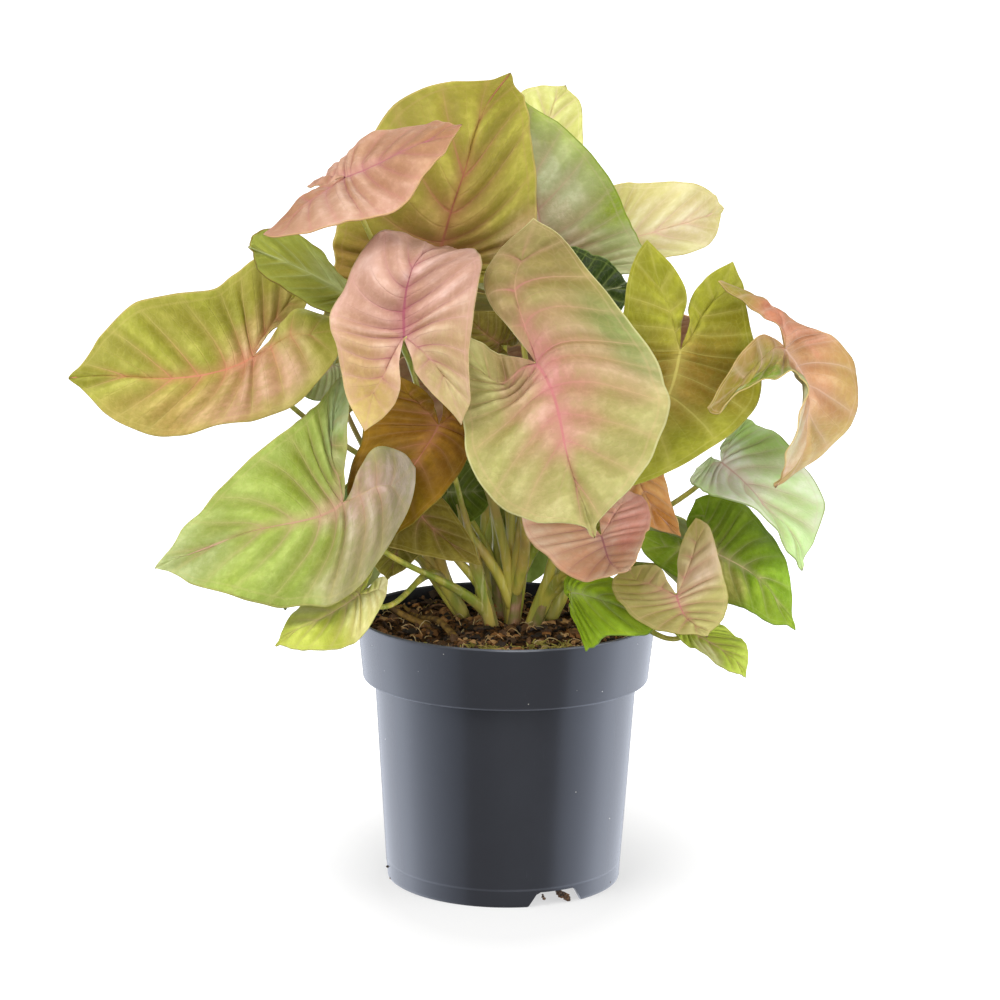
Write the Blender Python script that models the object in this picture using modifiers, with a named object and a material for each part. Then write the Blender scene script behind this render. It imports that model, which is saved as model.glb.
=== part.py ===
"""Arrowhead plant in its round nursery pot.

The pot, the potting mix, every leafy shoot and every leaf blade is an object of its own.
Lengths are in millimetres until MM turns them into metres. +Z is up, the pot's base is
centred on the origin, and the front of the plant looks towards -Y.
"""

import math
import random

import bmesh
import bpy
import numpy as np
from mathutils import Vector

MM = 0.001
GAP = 0.3  # clearance between pieces that rest against each other

# Pot
RIM_RADIUS = 60.0
RIM_HEIGHT = 108.0
COLLAR_FOOT_RADIUS = 57.5
COLLAR_FOOT_HEIGHT = 83.0
BODY_TOP_RADIUS = 52.7
BASE_RADIUS = 47.3
POT_WALL = 1.4
POT_FLOOR_UNDERSIDE = 7.5
POT_FLOOR = 1.8
PAD_RADIUS = 14.0  # middle of the floor, which stands on the ground
PAD_SLOPE = 6.0
FOOT_WALL = 2.0
POT_STEPS = 40
DRAIN_HOLES = 8
DRAIN_RADIUS = 3.5
DRAIN_CIRCLE = 30.0
FOOT_NOTCHES = 3
FOOT_NOTCH_AT = 27.0  # degrees from the front, towards the right
FOOT_NOTCH_WIDTH = 24.0
FOOT_NOTCH_HEIGHT = 6.0
FOOT_NOTCH_SLOPE = 4.0

# Potting mix
SOIL_EDGE_HEIGHT = 101.5
SOIL_CROWN = 2.5  # how much the mix rises towards the middle
SOIL_LUMP = 0.8
SOIL_RINGS = 6
SOIL_STEPS = 28
HOLE_DEPTH = 12.0
HOLE_SIDES = 12

# Leaves
BLADE = 0.7
VEIN_STRIPS = 2
WAVE = 0.016  # height of the margin's waves, as a share of the leaf's length
WAVE_STEP = 1.9  # turn of the wave from one vein to the next, in radians

# Petioles and the stems that they grow from
PETIOLE_FOOT = 1.9  # radii of a petiole at the stem and at its blade
PETIOLE_TOP = 1.0
PETIOLE_POINTS = 7
PETIOLE_ARC = 0.36  # length of the arc's handles, as a share of the way to the blade
LEAVING_PULL = 0.6  # how far a petiole leaves its stem straight for the blade
ARRIVING_PULL = 0.8  # and how far it meets the blade that way rather than square to it
SHOOT_TOP = 20.0  # how far a shoot's own stem stands out of the mix
LOWEST_PETIOLE = 0.25  # where petioles leave that stem, as shares of its height
HIGHEST_PETIOLE = 0.85
STEM_TAPER = 0.8

# Half of the flat leaf that all blades are cut to: its joint with the petiole is at (0, 0)
# and its tip at (0, 1). Each row is one vein, from the rib that it leaves to the margin.
VEINS = (
    ((0.00, 0.00), (0.00, 0.00)),
    ((0.08, -0.10), (0.035, -0.15)),
    ((0.15, -0.19), (0.05, -0.27)),
    ((0.22, -0.27), (0.13, -0.37)),
    ((0.22, -0.27), (0.26, -0.41)),
    ((0.22, -0.27), (0.38, -0.35)),
    ((0.15, -0.19), (0.45, -0.22)),
    ((0.08, -0.10), (0.49, -0.08)),
    ((0.00, 0.00), (0.50, 0.06)),
    ((0.00, 0.10), (0.48, 0.20)),
    ((0.00, 0.26), (0.43, 0.40)),
    ((0.00, 0.44), (0.33, 0.60)),
    ((0.00, 0.62), (0.21, 0.78)),
    ((0.00, 0.81), (0.09, 0.92)),
    ((0.00, 1.00), (0.00, 1.00)),
)
# Where the named landmarks of a blade lie on that flat leaf
FLAT = {
    "joint": (0.0, 0.0),
    "tip": (0.0, 1.0),
    "right": (0.48, 0.20),
    "left": (-0.48, 0.20),
    "shoulder_right": (0.33, 0.60),
    "shoulder_left": (-0.33, 0.60),
    "lobe_right": (0.26, -0.41),
    "lobe_left": (-0.26, -0.41),
    "hip_right": (0.49, -0.08),
    "hip_left": (-0.49, -0.08),
    "notch_right": (0.05, -0.27),
    "notch_left": (-0.05, -0.27),
    "rib": (0.0, 0.5),
}

FINISHES = {
    "olive": (0.36, 0.36, 0.08),
    "rose": (0.66, 0.33, 0.26),
    "rose_olive": (0.50, 0.40, 0.14),
    "green": (0.16, 0.34, 0.04),
    "lime": (0.36, 0.47, 0.10),
    "grey": (0.32, 0.42, 0.20),
    "sage": (0.44, 0.55, 0.28),
    "pale": (0.72, 0.70, 0.30),
    "amber": (0.55, 0.27, 0.10),
    "orange": (0.68, 0.36, 0.20),
}
POT_GREY = (0.055, 0.062, 0.078)
SOIL_BROWN = (0.07, 0.038, 0.02)
STEM_GREEN = (0.23, 0.32, 0.08)

# Where each leaf of the front hangs, landmark by landmark
LEAVES = {}
LEAVES["left_long"] = dict(
    shoot=1,
    finish="olive",
    joint=(-99, -35, 217),
    tip=(-169, -48, 210),
    right=(-114, -20, 242),
    left=(-112, -54, 193),
    shoulder_right=(-144, -34, 237),
    shoulder_left=(-140, -54, 190),
    lobe_right=(-79, 4, 239),
    lobe_left=(-65, -30, 228),
    rib=(-133, -47, 210),
    hip_right=(-98, -6, 252),
    hip_left=(-85, -48, 199),
    notch_right=(-86, -14, 229),
    notch_left=(-83, -22, 232),
    via=(-48, -12, 168),
)
LEAVES["upper_left_rose"] = dict(
    shoot=1,
    finish="rose",
    joint=(-63, -50, 288),
    tip=(-19, -62, 310),
    right=(-47, -84, 278),
    left=(-57, -30, 300),
    shoulder_right=(-32, -80, 291),
    shoulder_left=(-38, -46, 308),
    lobe_right=(-90, -78, 271),
    lobe_left=(-74, -28, 285),
    rib=(-41, -66, 300),
    hip_right=(-63, -84, 275),
    hip_left=(-66, -28, 292),
    notch_right=(-79, -58, 282),
)
LEAVES["upper_left_under"] = dict(
    shoot=3,
    finish="green",
    joint=(-63, -22, 240),
    tip=(-99, -54, 262),
    right=(-80, -42, 241),
    left=(-77, -34, 262),
    shoulder_right=(-93, -50, 250),
    shoulder_left=(-93, -46, 268),
    lobe_right=(-56, -14, 229),
    lobe_left=(-57, -10, 242),
    hip_left=(-69, -18, 248),
)
LEAVES["top_tall"] = dict(
    shoot=1,
    finish="olive",
    joint=(-29, 2, 250),
    tip=(-1, 12, 324),
    right=(10, 4, 271),
    left=(-69, -4, 264),
    shoulder_right=(6, 8, 304),
    shoulder_left=(-47, 8, 311),
    lobe_right=(-4, -2, 243),
    lobe_left=(-65, -4, 237),
    rib=(-18, -2, 288),
    hip_right=(8, 0, 253),
    hip_left=(-69, -6, 250),
    via=(-9, 16, 193),
)
LEAVES["front_rose"] = dict(
    shoot=1,
    finish="rose",
    joint=(-39, -90, 234),
    tip=(-23, -32, 259),
    right=(-12, -74, 252),
    left=(-66, -84, 242),
    shoulder_right=(-13, -56, 262),
    shoulder_left=(-47, -64, 269),
    lobe_right=(-19, -102, 209),
    lobe_left=(-52, -104, 205),
    rib=(-35, -86, 261),
    hip_right=(-15, -96, 230),
    hip_left=(-64, -92, 231),
    notch_right=(-34, -100, 222),
    notch_left=(-40, -102, 217),
    via=(-2, -42, 180),
)
LEAVES["front_heart"] = dict(
    shoot=1,
    finish="rose_olive",
    joint=(10, -80, 223),
    tip=(32, -118, 165),
    right=(-17, -94, 202),
    left=(57, -80, 220),
    shoulder_right=(-3, -110, 179),
    shoulder_left=(52, -95, 197),
    lobe_right=(-17, -80, 230),
    lobe_left=(7, -60, 270),
    rib=(21, -108, 196),
    hip_right=(-16, -86, 214),
    hip_left=(42, -68, 240),
    notch_right=(-4, -76, 226),
    notch_left=(-9, -68, 247),
)
LEAVES["right_olive"] = dict(
    shoot=1,
    finish="olive",
    joint=(65, -50, 224),
    tip=(34, -76, 170),
    right=(35, -50, 215),
    left=(97, -40, 209),
    shoulder_right=(25, -60, 191),
    shoulder_left=(78, -57, 188),
    lobe_right=(53, -34, 261),
    lobe_left=(84, -26, 252),
    hip_right=(42, -42, 232),
    hip_left=(93, -32, 228),
    notch_right=(67, -38, 242),
    notch_left=(69, -36, 241),
    via=(33, -17, 171),
)
LEAVES["right_droop"] = dict(
    shoot=5,
    finish="orange",
    joint=(107, -24, 221),
    tip=(103, -50, 171),
    right=(111, -52, 215),
    left=(131, 8, 220),
    shoulder_right=(109, -60, 193),
    shoulder_left=(138, -2, 191),
    lobe_right=(78, -66, 206),
    lobe_left=(80, -50, 249),
    rib=(115, -40, 196),
    hip_right=(94, -60, 215),
    hip_left=(116, -6, 227),
    notch_right=(94, -52, 230),
    notch_left=(96, -40, 237),
)
LEAVES["far_right_pale"] = dict(
    shoot=4,
    finish="pale",
    joint=(39, 62, 250),
    tip=(89, 88, 263),
    right=(63, 66, 244),
    left=(59, 80, 274),
    shoulder_right=(82, 76, 249),
    shoulder_left=(80, 90, 272),
    lobe_right=(28, 52, 241),
    lobe_left=(32, 62, 266),
    via=(15, 40, 189),
)
LEAVES["far_top_pale"] = dict(
    shoot=5,
    finish="pale",
    joint=(12, 70, 271),
    tip=(22, 92, 313),
    right=(29, 82, 285),
    left=(-2, 76, 291),
    shoulder_right=(29, 90, 302),
    shoulder_left=(3, 86, 310),
    lobe_right=(23, 64, 263),
    lobe_left=(-1, 60, 270),
    via=(8, 41, 197),
)
LEAVES["grey_tall"] = dict(
    shoot=2,
    finish="grey",
    joint=(15, 38, 247),
    tip=(2, 50, 312),
    right=(46, 38, 267),
    left=(-17, 50, 260),
    shoulder_right=(32, 46, 289),
    shoulder_left=(-19, 52, 289),
    lobe_right=(49, 24, 244),
    lobe_left=(-4, 44, 233),
    hip_right=(52, 30, 255),
    via=(26, 14, 194),
)
LEAVES["dark_nook"] = dict(
    shoot=4,
    finish="green",
    joint=(20, -22, 238),
    tip=(48, -6, 243),
    right=(35, -34, 229),
    left=(30, 6, 255),
    lobe_right=(14, -30, 228),
    lobe_left=(15, 0, 248),
)
LEAVES["low_left_green"] = dict(
    shoot=0,
    finish="lime",
    joint=(-63, -64, 166),
    tip=(-133, -76, 142),
    right=(-85, -46, 191),
    left=(-76, -88, 131),
    shoulder_right=(-112, -60, 167),
    shoulder_left=(-104, -86, 134),
    lobe_right=(-62, -32, 206),
    lobe_left=(-37, -56, 177),
    rib=(-96, -76, 157),
    hip_right=(-74, -38, 199),
    hip_left=(-58, -84, 135),
    notch_right=(-63, -46, 184),
    notch_left=(-52, -58, 185),
    via=(-37, -32, 134),
)
LEAVES["amber"] = dict(
    shoot=0,
    finish="amber",
    joint=(-27, -46, 193),
    tip=(-47, -60, 150),
    right=(-57, -36, 185),
    left=(-15, -48, 182),
    shoulder_right=(-62, -44, 166),
    shoulder_left=(-27, -56, 165),
    lobe_right=(-42, -26, 207),
    lobe_left=(-17, -36, 203),
)
LEAVES["olive_tip"] = dict(
    shoot=0,
    finish="olive",
    joint=(-38, -24, 160),
    tip=(-10, -40, 137),
    right=(-51, -30, 144),
    left=(-27, -22, 161),
    lobe_right=(-49, -20, 156),
    lobe_left=(-39, -12, 169),
    via=(-24, -12, 137),
)
LEAVES["olive_shade"] = dict(
    shoot=3,
    finish="olive",
    joint=(-42, -8, 144),
    tip=(-47, -24, 127),
    right=(-55, -14, 137),
    left=(-31, -16, 140),
    lobe_right=(-52, -2, 148),
    lobe_left=(-33, -2, 149),
)
LEAVES["pale_scrap"] = dict(
    shoot=3,
    finish="grey",
    joint=(-70, 2, 208),
    tip=(-83, -10, 198),
    right=(-81, 2, 210),
    left=(-71, -10, 197),
    lobe_right=(-70, 8, 215),
    lobe_left=(-63, 6, 206),
    via=(-51, 11, 161),
)
LEAVES["low_left_small"] = dict(
    shoot=3,
    finish="lime",
    joint=(-56, -72, 132),
    tip=(-87, -86, 115),
    right=(-71, -58, 134),
    left=(-59, -92, 117),
    shoulder_left=(-74, -92, 115),
    lobe_right=(-53, -54, 141),
    lobe_left=(-46, -64, 135),
    via=(-38, -38, 126),
)
LEAVES["low_rose"] = dict(
    shoot=2,
    finish="rose",
    joint=(36, -58, 153),
    tip=(46, -94, 148),
    right=(16, -68, 146),
    left=(53, -66, 156),
    shoulder_right=(30, -88, 142),
    shoulder_left=(49, -84, 152),
    lobe_right=(11, -42, 162),
    lobe_left=(45, -38, 166),
    via=(27, -26, 134),
)
LEAVES["orange_tip"] = dict(
    shoot=2,
    finish="orange",
    joint=(50, -26, 173),
    tip=(67, -48, 151),
    right=(41, -36, 162),
    left=(61, -30, 171),
    shoulder_left=(64, -42, 161),
    lobe_right=(41, -16, 177),
    lobe_left=(55, -14, 181),
)
LEAVES["low_right_pale"] = dict(
    shoot=5,
    finish="sage",
    joint=(84, -14, 174),
    tip=(115, -42, 137),
    right=(83, -38, 165),
    left=(112, 0, 178),
    shoulder_right=(104, -44, 154),
    shoulder_left=(125, -12, 156),
    lobe_right=(74, -28, 174),
    lobe_left=(92, 8, 185),
    rib=(101, -26, 159),
    hip_left=(102, 6, 184),
)
LEAVES["low_right_green"] = dict(
    shoot=5,
    finish="green",
    joint=(81, -24, 140),
    tip=(112, -50, 115),
    right=(85, -44, 125),
    left=(99, -10, 151),
    shoulder_right=(96, -52, 122),
    shoulder_left=(109, -28, 138),
    lobe_right=(53, -26, 146),
    lobe_left=(76, 2, 154),
    hip_left=(90, 0, 156),
)
LEAVES["small_heart"] = dict(
    shoot=2,
    finish="rose_olive",
    joint=(64, -84, 136),
    tip=(75, -100, 124),
    right=(44, -86, 132),
    left=(83, -78, 138),
    shoulder_right=(56, -96, 126),
    shoulder_left=(82, -92, 131),
    lobe_right=(46, -72, 143),
    lobe_left=(72, -60, 159),
    hip_right=(40, -80, 137),
    hip_left=(80, -70, 148),
    notch_right=(58, -74, 144),
    notch_left=(65, -70, 148),
)
LEAVES["low_curl"] = dict(
    shoot=2,
    finish="lime",
    joint=(70, -66, 118),
    tip=(91, -82, 104),
    right=(74, -78, 113),
    left=(88, -66, 116),
    shoulder_right=(83, -84, 108),
    shoulder_left=(92, -74, 113),
    lobe_right=(65, -66, 118),
    lobe_left=(75, -58, 120),
)
LEAVES["low_front_green"] = dict(
    shoot=2,
    finish="green",
    joint=(25, -52, 129),
    tip=(61, -80, 125),
    right=(38, -74, 117),
    left=(36, -46, 135),
    shoulder_right=(51, -84, 121),
    shoulder_left=(51, -62, 131),
    lobe_right=(29, -70, 114),
    lobe_left=(23, -38, 130),
)
LEAVES["dark_centre"] = dict(
    shoot=4,
    finish="green",
    joint=(-24, 4, 157),
    tip=(-4, -4, 160),
    right=(-16, -4, 146),
    left=(-17, 8, 169),
    lobe_right=(-30, 6, 149),
    lobe_left=(-30, 12, 164),
)
LEAVES["dark_between"] = dict(
    shoot=4,
    finish="olive",
    joint=(-4, -14, 220),
    tip=(-18, -20, 233),
    right=(-2, -12, 232),
    left=(-19, -20, 218),
    lobe_right=(7, -6, 224),
    lobe_left=(-4, -12, 209),
)

# Leaves of the sides and the back, which follow one rule: the bearing of the joint from the
# front towards the right in degrees, its reach from the middle, its height, the leaf's length,
# how far its tip dips below level and how far it rolls to its right in degrees, its finish,
# its shoot and, for some, a point that its petiole goes through
REAR_LEAVES = {
    "rear_right_low": (128, 66, 146, 58, 44, 6, "lime", 5),
    "rear_right_high": (138, 90, 212, 68, 34, -12, "rose", 6, (13, 39, 170)),
    "rear_low": (177, 74, 147, 62, 54, 8, "green", 6),
    "rear_middle": (164, 80, 184, 72, 48, -8, "olive", 1),
    "rear_top": (182, 88, 226, 74, 26, 6, "rose_olive", 4, (-1, 36, 178)),
    "rear_left_high": (214, 72, 222, 76, 36, 10, "olive", 6, (-9, 53, 173)),
    "rear_left_middle": (194, 84, 190, 70, 50, -6, "rose", 6, (-11, 48, 162)),
    "rear_left_low": (217, 74, 154, 64, 54, -10, "lime", 6),
    "side_left_low": (258, 68, 148, 50, 52, -8, "green", 3),
    "side_right_high": (104, 56, 206, 60, 32, 10, "sage", 1, (28, 7, 163)),
}

# Shoots, by where each stands in the mix, how its stem leans and how thick it is
SHOOTS = {
    0: dict(at=(-5.5, -2.5), lean=(-0.26, -0.16), radius=2.7),
    1: dict(at=(2.5, 0.5), lean=(0.04, -0.10), radius=2.8),
    2: dict(at=(11.0, -1.0), lean=(0.42, -0.14), radius=2.7),
    3: dict(at=(-17.0, 15.0), lean=(-0.60, -0.14), radius=2.6),
    4: dict(at=(-2.0, 17.0), lean=(-0.04, 0.05), radius=2.7),
    5: dict(at=(17.0, 12.0), lean=(0.42, 0.08), radius=2.6),
    6: dict(at=(-7.0, 33.0), lean=(-0.12, 0.35), radius=2.6),
}


def metres(point):
    return Vector(point) * MM


def paint(obj, name, colour, roughness):
    material = bpy.data.materials.new(name)
    material.use_nodes = True
    shader = material.node_tree.nodes["Principled BSDF"]
    shader.inputs["Base Color"].default_value = (*colour, 1.0)
    shader.inputs["Roughness"].default_value = roughness
    shader.inputs["Metallic"].default_value = 0.0
    obj.data.materials.clear()
    obj.data.materials.append(material)


def as_mesh(obj, name, collection):
    """Swaps an object for the mesh that its curve or modifiers make."""
    bpy.context.view_layer.update()
    graph = bpy.context.evaluated_depsgraph_get()
    mesh = bpy.data.meshes.new_from_object(obj.evaluated_get(graph))
    made = bpy.data.objects.new(name, mesh)
    made.matrix_world = obj.matrix_world
    bpy.data.objects.remove(obj)
    work = bmesh.new()
    work.from_mesh(mesh)
    bmesh.ops.remove_doubles(work, verts=work.verts, dist=0.001 * MM)
    work.to_mesh(mesh)
    work.free()
    collection.objects.link(made)
    return made


def turned(name, profile, steps, collection):
    """A closed profile from axis to axis, in (radius, height), turned round +Z."""
    mesh = bpy.data.meshes.new(name)
    work = bmesh.new()
    corners = [work.verts.new((radius * MM, 0.0, height * MM)) for radius, height in profile]
    for first, second in zip(corners, corners[1:]):
        work.edges.new((first, second))
    work.to_mesh(mesh)
    work.free()
    obj = bpy.data.objects.new(name, mesh)
    collection.objects.link(obj)
    screw = obj.modifiers.new("Turn", "SCREW")
    screw.axis = "Z"
    screw.steps = steps
    screw.render_steps = steps
    screw.use_merge_vertices = True
    screw.merge_threshold = 0.00001
    return as_mesh(obj, name, collection)


def cut(obj, cutters, collection):
    """Takes every cutter out of the object in one Boolean."""
    boolean = obj.modifiers.new("Cut", "BOOLEAN")
    boolean.operation = "DIFFERENCE"
    boolean.operand_type = "COLLECTION"
    boolean.collection = cutters
    return as_mesh(obj, obj.name + "_cut", collection)


def cutter_collection(name):
    made = bpy.data.collections.new(name)
    bpy.context.scene.collection.children.link(made)
    made.hide_render = True
    return made


def helper(obj, collection):
    for holder in list(obj.users_collection):
        holder.objects.unlink(obj)
    collection.objects.link(obj)
    obj.hide_render = True
    obj.display_type = "WIRE"


def cylinder(name, radius, low, high, at, sides, collection):
    mesh = bpy.data.meshes.new(name)
    work = bmesh.new()
    bmesh.ops.create_cone(
        work,
        cap_ends=True,
        segments=sides,
        radius1=radius * MM,
        radius2=radius * MM,
        depth=(high - low) * MM,
    )
    work.to_mesh(mesh)
    work.free()
    obj = bpy.data.objects.new(name, mesh)
    obj.location = metres((at[0], at[1], (low + high) / 2))
    helper(obj, collection)


def inner_radius(height):
    """The pot's inside, which steps out behind the collar as pots that stack do."""
    if height >= COLLAR_FOOT_HEIGHT + POT_WALL:
        share = (height - COLLAR_FOOT_HEIGHT) / (RIM_HEIGHT - COLLAR_FOOT_HEIGHT)
        return COLLAR_FOOT_RADIUS + share * (RIM_RADIUS - COLLAR_FOOT_RADIUS) - POT_WALL
    share = height / COLLAR_FOOT_HEIGHT
    return BASE_RADIUS + share * (BODY_TOP_RADIUS - BASE_RADIUS) - POT_WALL


def make_pot(parts):
    floor_top = POT_FLOOR_UNDERSIDE + POT_FLOOR
    step = COLLAR_FOOT_HEIGHT + POT_WALL
    foot_inside = BASE_RADIUS - FOOT_WALL
    pad_top = PAD_RADIUS - POT_FLOOR / 2
    profile = (
        (0.0, POT_FLOOR),
        (pad_top, POT_FLOOR),
        (pad_top + PAD_SLOPE, floor_top),
        (DRAIN_CIRCLE, floor_top),
        (inner_radius(floor_top) - 2.0, floor_top),
        (inner_radius(floor_top), floor_top + 2.0),
        (inner_radius(step - 0.01), step),
        (inner_radius(step), step),
        (RIM_RADIUS - POT_WALL, RIM_HEIGHT - 0.3),
        (RIM_RADIUS - POT_WALL + 0.4, RIM_HEIGHT),
        (RIM_RADIUS - 0.4, RIM_HEIGHT),
        (RIM_RADIUS, RIM_HEIGHT - 0.5),
        (COLLAR_FOOT_RADIUS, COLLAR_FOOT_HEIGHT + 0.4),
        (COLLAR_FOOT_RADIUS - 0.4, COLLAR_FOOT_HEIGHT),
        (BODY_TOP_RADIUS, COLLAR_FOOT_HEIGHT - 0.4),
        (BASE_RADIUS + 0.1, 1.0),
        (BASE_RADIUS - 0.6, 0.0),
        (foot_inside + 0.3, 0.0),
        (foot_inside, 0.5),
        (foot_inside, POT_FLOOR_UNDERSIDE),
        (PAD_RADIUS + PAD_SLOPE, POT_FLOOR_UNDERSIDE),
        (PAD_RADIUS, 0.0),
        (0.0, 0.0),
    )
    pot = turned("pot_turned", profile, POT_STEPS, parts)
    cutters = cutter_collection("pot_cutters")
    for hole in range(DRAIN_HOLES):
        angle = math.tau * (hole + 0.5) / DRAIN_HOLES
        at = (DRAIN_CIRCLE * math.sin(angle), -DRAIN_CIRCLE * math.cos(angle))
        low = POT_FLOOR_UNDERSIDE - 3.0
        cylinder(f"drain_{hole}", DRAIN_RADIUS, low, floor_top + 3.0, at, HOLE_SIDES, cutters)
    for notch in range(FOOT_NOTCHES):
        turn = math.radians(FOOT_NOTCH_AT) + math.tau * notch / FOOT_NOTCHES
        foot_notch(f"notch_{notch}", turn, cutters)
    pot = cut(pot, cutters, parts)
    pot.name = "pot"
    pot.data.shade_smooth()
    pot.data.set_sharp_from_angle(angle=math.radians(35))
    paint(pot, "dark_grey_polypropylene", POT_GREY, 0.45)


def foot_notch(name, turn, cutters):
    """A flat-topped arch through the foot ring, drawn as an outline and extruded."""
    half = FOOT_NOTCH_WIDTH / 2
    outline = (
        (-half, -2.0),
        (-half, 0.0),
        (-half + FOOT_NOTCH_SLOPE, FOOT_NOTCH_HEIGHT),
        (half - FOOT_NOTCH_SLOPE, FOOT_NOTCH_HEIGHT),
        (half, 0.0),
        (half, -2.0),
    )
    curve = bpy.data.curves.new(name, "CURVE")
    curve.dimensions = "2D"
    curve.fill_mode = "BOTH"
    curve.extrude = 5.0 * MM
    spline = curve.splines.new("POLY")
    spline.points.add(len(outline) - 1)
    spline.use_cyclic_u = True
    for point, (across, up) in zip(spline.points, outline):
        point.co = (across * MM, up * MM, 0.0, 1.0)
    obj = bpy.data.objects.new(name, curve)
    ring = BASE_RADIUS - FOOT_WALL / 2
    obj.location = metres((ring * math.sin(turn), -ring * math.cos(turn), 0.0))
    obj.rotation_euler = (math.radians(90), 0.0, turn)
    cutters.objects.link(obj)
    helper(as_mesh(obj, name + "_cutter", cutters), cutters)


def soil_height(x, y):
    """Top of the potting mix: a low mound with lumps, in millimetres."""
    reach = math.hypot(x, y) / RIM_RADIUS
    mound = SOIL_EDGE_HEIGHT + SOIL_CROWN * (1.0 - min(reach, 1.0) ** 2)
    lumps = math.sin(0.31 * x + 1.0) * math.cos(0.27 * y) + 0.6 * math.sin(0.55 * x - 0.43 * y)
    return mound + SOIL_LUMP * lumps


def make_soil(parts):
    floor = POT_FLOOR_UNDERSIDE + POT_FLOOR + GAP
    step = COLLAR_FOOT_HEIGHT + POT_WALL + GAP
    edge = inner_radius(SOIL_EDGE_HEIGHT) - GAP
    pad = PAD_RADIUS - POT_FLOOR / 2 - 2 * GAP
    top = [(edge * ring / SOIL_RINGS, SOIL_EDGE_HEIGHT) for ring in range(SOIL_RINGS + 1)]
    side = (
        (inner_radius(step) - GAP, step),
        (inner_radius(step - 2 * GAP) - GAP, step),
        (inner_radius(floor + 2.0) - GAP, floor + 2.0),
        (inner_radius(floor) - 2.0 - GAP, floor),
        (pad + PAD_SLOPE, floor),
        (pad, POT_FLOOR + GAP),
        (0.0, POT_FLOOR + GAP),
    )
    soil = turned("soil_turned", (*top, *side), SOIL_STEPS, parts)
    for vertex in soil.data.vertices:
        x, y, z = vertex.co / MM
        if z > SOIL_EDGE_HEIGHT - 0.1:
            vertex.co.z = soil_height(x, y) * MM
    cutters = cutter_collection("soil_cutters")
    for number, shoot in SHOOTS.items():
        low = soil_height(*shoot["at"]) - HOLE_DEPTH
        radius = shoot["radius"] / math.cos(math.pi / HOLE_SIDES) + GAP
        high = RIM_HEIGHT + 20.0
        cylinder(f"hole_{number}", radius, low, high, shoot["at"], HOLE_SIDES, cutters)
    soil = cut(soil, cutters, parts)
    soil.name = "soil"
    paint(soil, "bark_and_peat_mix", SOIL_BROWN, 0.95)


def sheet_through(landmarks):
    """A thin springy plate pinned at the landmarks, as a function of the flat leaf."""
    names = [name for name in FLAT if name in landmarks]
    flat = np.array([FLAT[name] for name in names])
    space = np.array([landmarks[name] for name in names], float)
    count = len(names)

    def bending(apart):
        return apart**2 * np.log(apart + 1e-9)

    system = np.zeros((count + 3, count + 3))
    system[:count, :count] = bending(np.linalg.norm(flat[:, None] - flat[None], axis=2))
    system[:count, count:] = np.c_[np.ones(count), flat]
    system[count:, :count] = system[:count, count:].T
    weights = np.linalg.solve(system, np.r_[space, np.zeros((3, 3))])

    def at(across, along):
        row = bending(np.linalg.norm(flat - (across, along), axis=1))
        return np.r_[row, 1.0, across, along] @ weights

    return at


def upper_normal(sheet, across, along):
    small = 0.01
    right = sheet(across + small, along) - sheet(across - small, along)
    forward = sheet(across, along + small) - sheet(across, along - small)
    normal = np.cross(right, forward)
    return normal / np.linalg.norm(normal)


def make_blade(name, leaf, parts):
    sheet = sheet_through(leaf)
    length = np.linalg.norm(np.subtract(leaf["tip"], leaf["joint"]))
    height = leaf.get("wave", WAVE) * length
    phase = random.Random(name).uniform(0.0, math.tau)
    work = bmesh.new()
    last = len(VEINS) - 1
    for side in (1.0, -1.0):
        grid = bmesh.ops.create_grid(work, x_segments=last, y_segments=VEIN_STRIPS, size=0.5)
        corners = grid["verts"]
        faces = {face for vertex in corners for face in vertex.link_faces}
        for vertex in corners:
            vein = round((vertex.co.x + 0.5) * last)
            out = vertex.co.y + 0.5
            rib, margin = VEINS[vein]
            across = side * (rib[0] + out * (margin[0] - rib[0]))
            along = rib[1] + out * (margin[1] - rib[1])
            ripple = 0.0
            if 0 < vein < last:
                ripple = height * out**2 * math.sin(WAVE_STEP * vein + phase + side)
            place = sheet(across, along) + ripple * upper_normal(sheet, across, along)
            vertex.co = metres(place)
        if side > 0:
            bmesh.ops.reverse_faces(work, faces=list(faces))
    bmesh.ops.remove_doubles(work, verts=work.verts, dist=0.01 * MM)
    bmesh.ops.triangulate(work, faces=work.faces)
    mesh = bpy.data.meshes.new(name)
    work.to_mesh(mesh)
    work.free()
    obj = bpy.data.objects.new(name, mesh)
    parts.objects.link(obj)
    solid = obj.modifiers.new("Thickness", "SOLIDIFY")
    solid.thickness = BLADE * MM
    solid.offset = 0.0
    mesh.shade_smooth()
    paint(obj, name + "_leaf", FINISHES[leaf["finish"]], 0.4)


def outward_leaf(bearing, reach, height, length, dip, roll, finish, shoot, via=None):
    """Landmarks of a plain leaf that leans out from the middle, bowed down at its tip."""
    turn = math.radians(bearing)
    fall = math.radians(dip)
    tilt = math.radians(roll)
    outward = np.array((math.sin(turn), -math.cos(turn), 0.0))
    level = np.array((math.cos(turn), math.sin(turn), 0.0))
    up = np.array((0.0, 0.0, 1.0))
    forward = math.cos(fall) * outward - math.sin(fall) * up
    above = math.sin(fall) * outward + math.cos(fall) * up
    right = -math.cos(tilt) * level - math.sin(tilt) * above
    normal = np.cross(right, forward)
    joint = reach * outward + height * up

    def at(across, along, lift):
        return joint + length * (across * right + along * forward + lift * normal)

    return dict(
        shoot=shoot,
        finish=finish,
        via=via,
        joint=joint,
        tip=at(0.0, 1.0, -0.16),
        right=at(0.44, 0.18, 0.05),
        left=at(-0.44, 0.18, 0.03),
        shoulder_right=at(0.31, 0.60, -0.02),
        shoulder_left=at(-0.31, 0.60, -0.05),
        lobe_right=at(0.27, -0.34, -0.06),
        lobe_left=at(-0.27, -0.36, -0.03),
        rib=at(0.0, 0.5, -0.01),
    )


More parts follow.
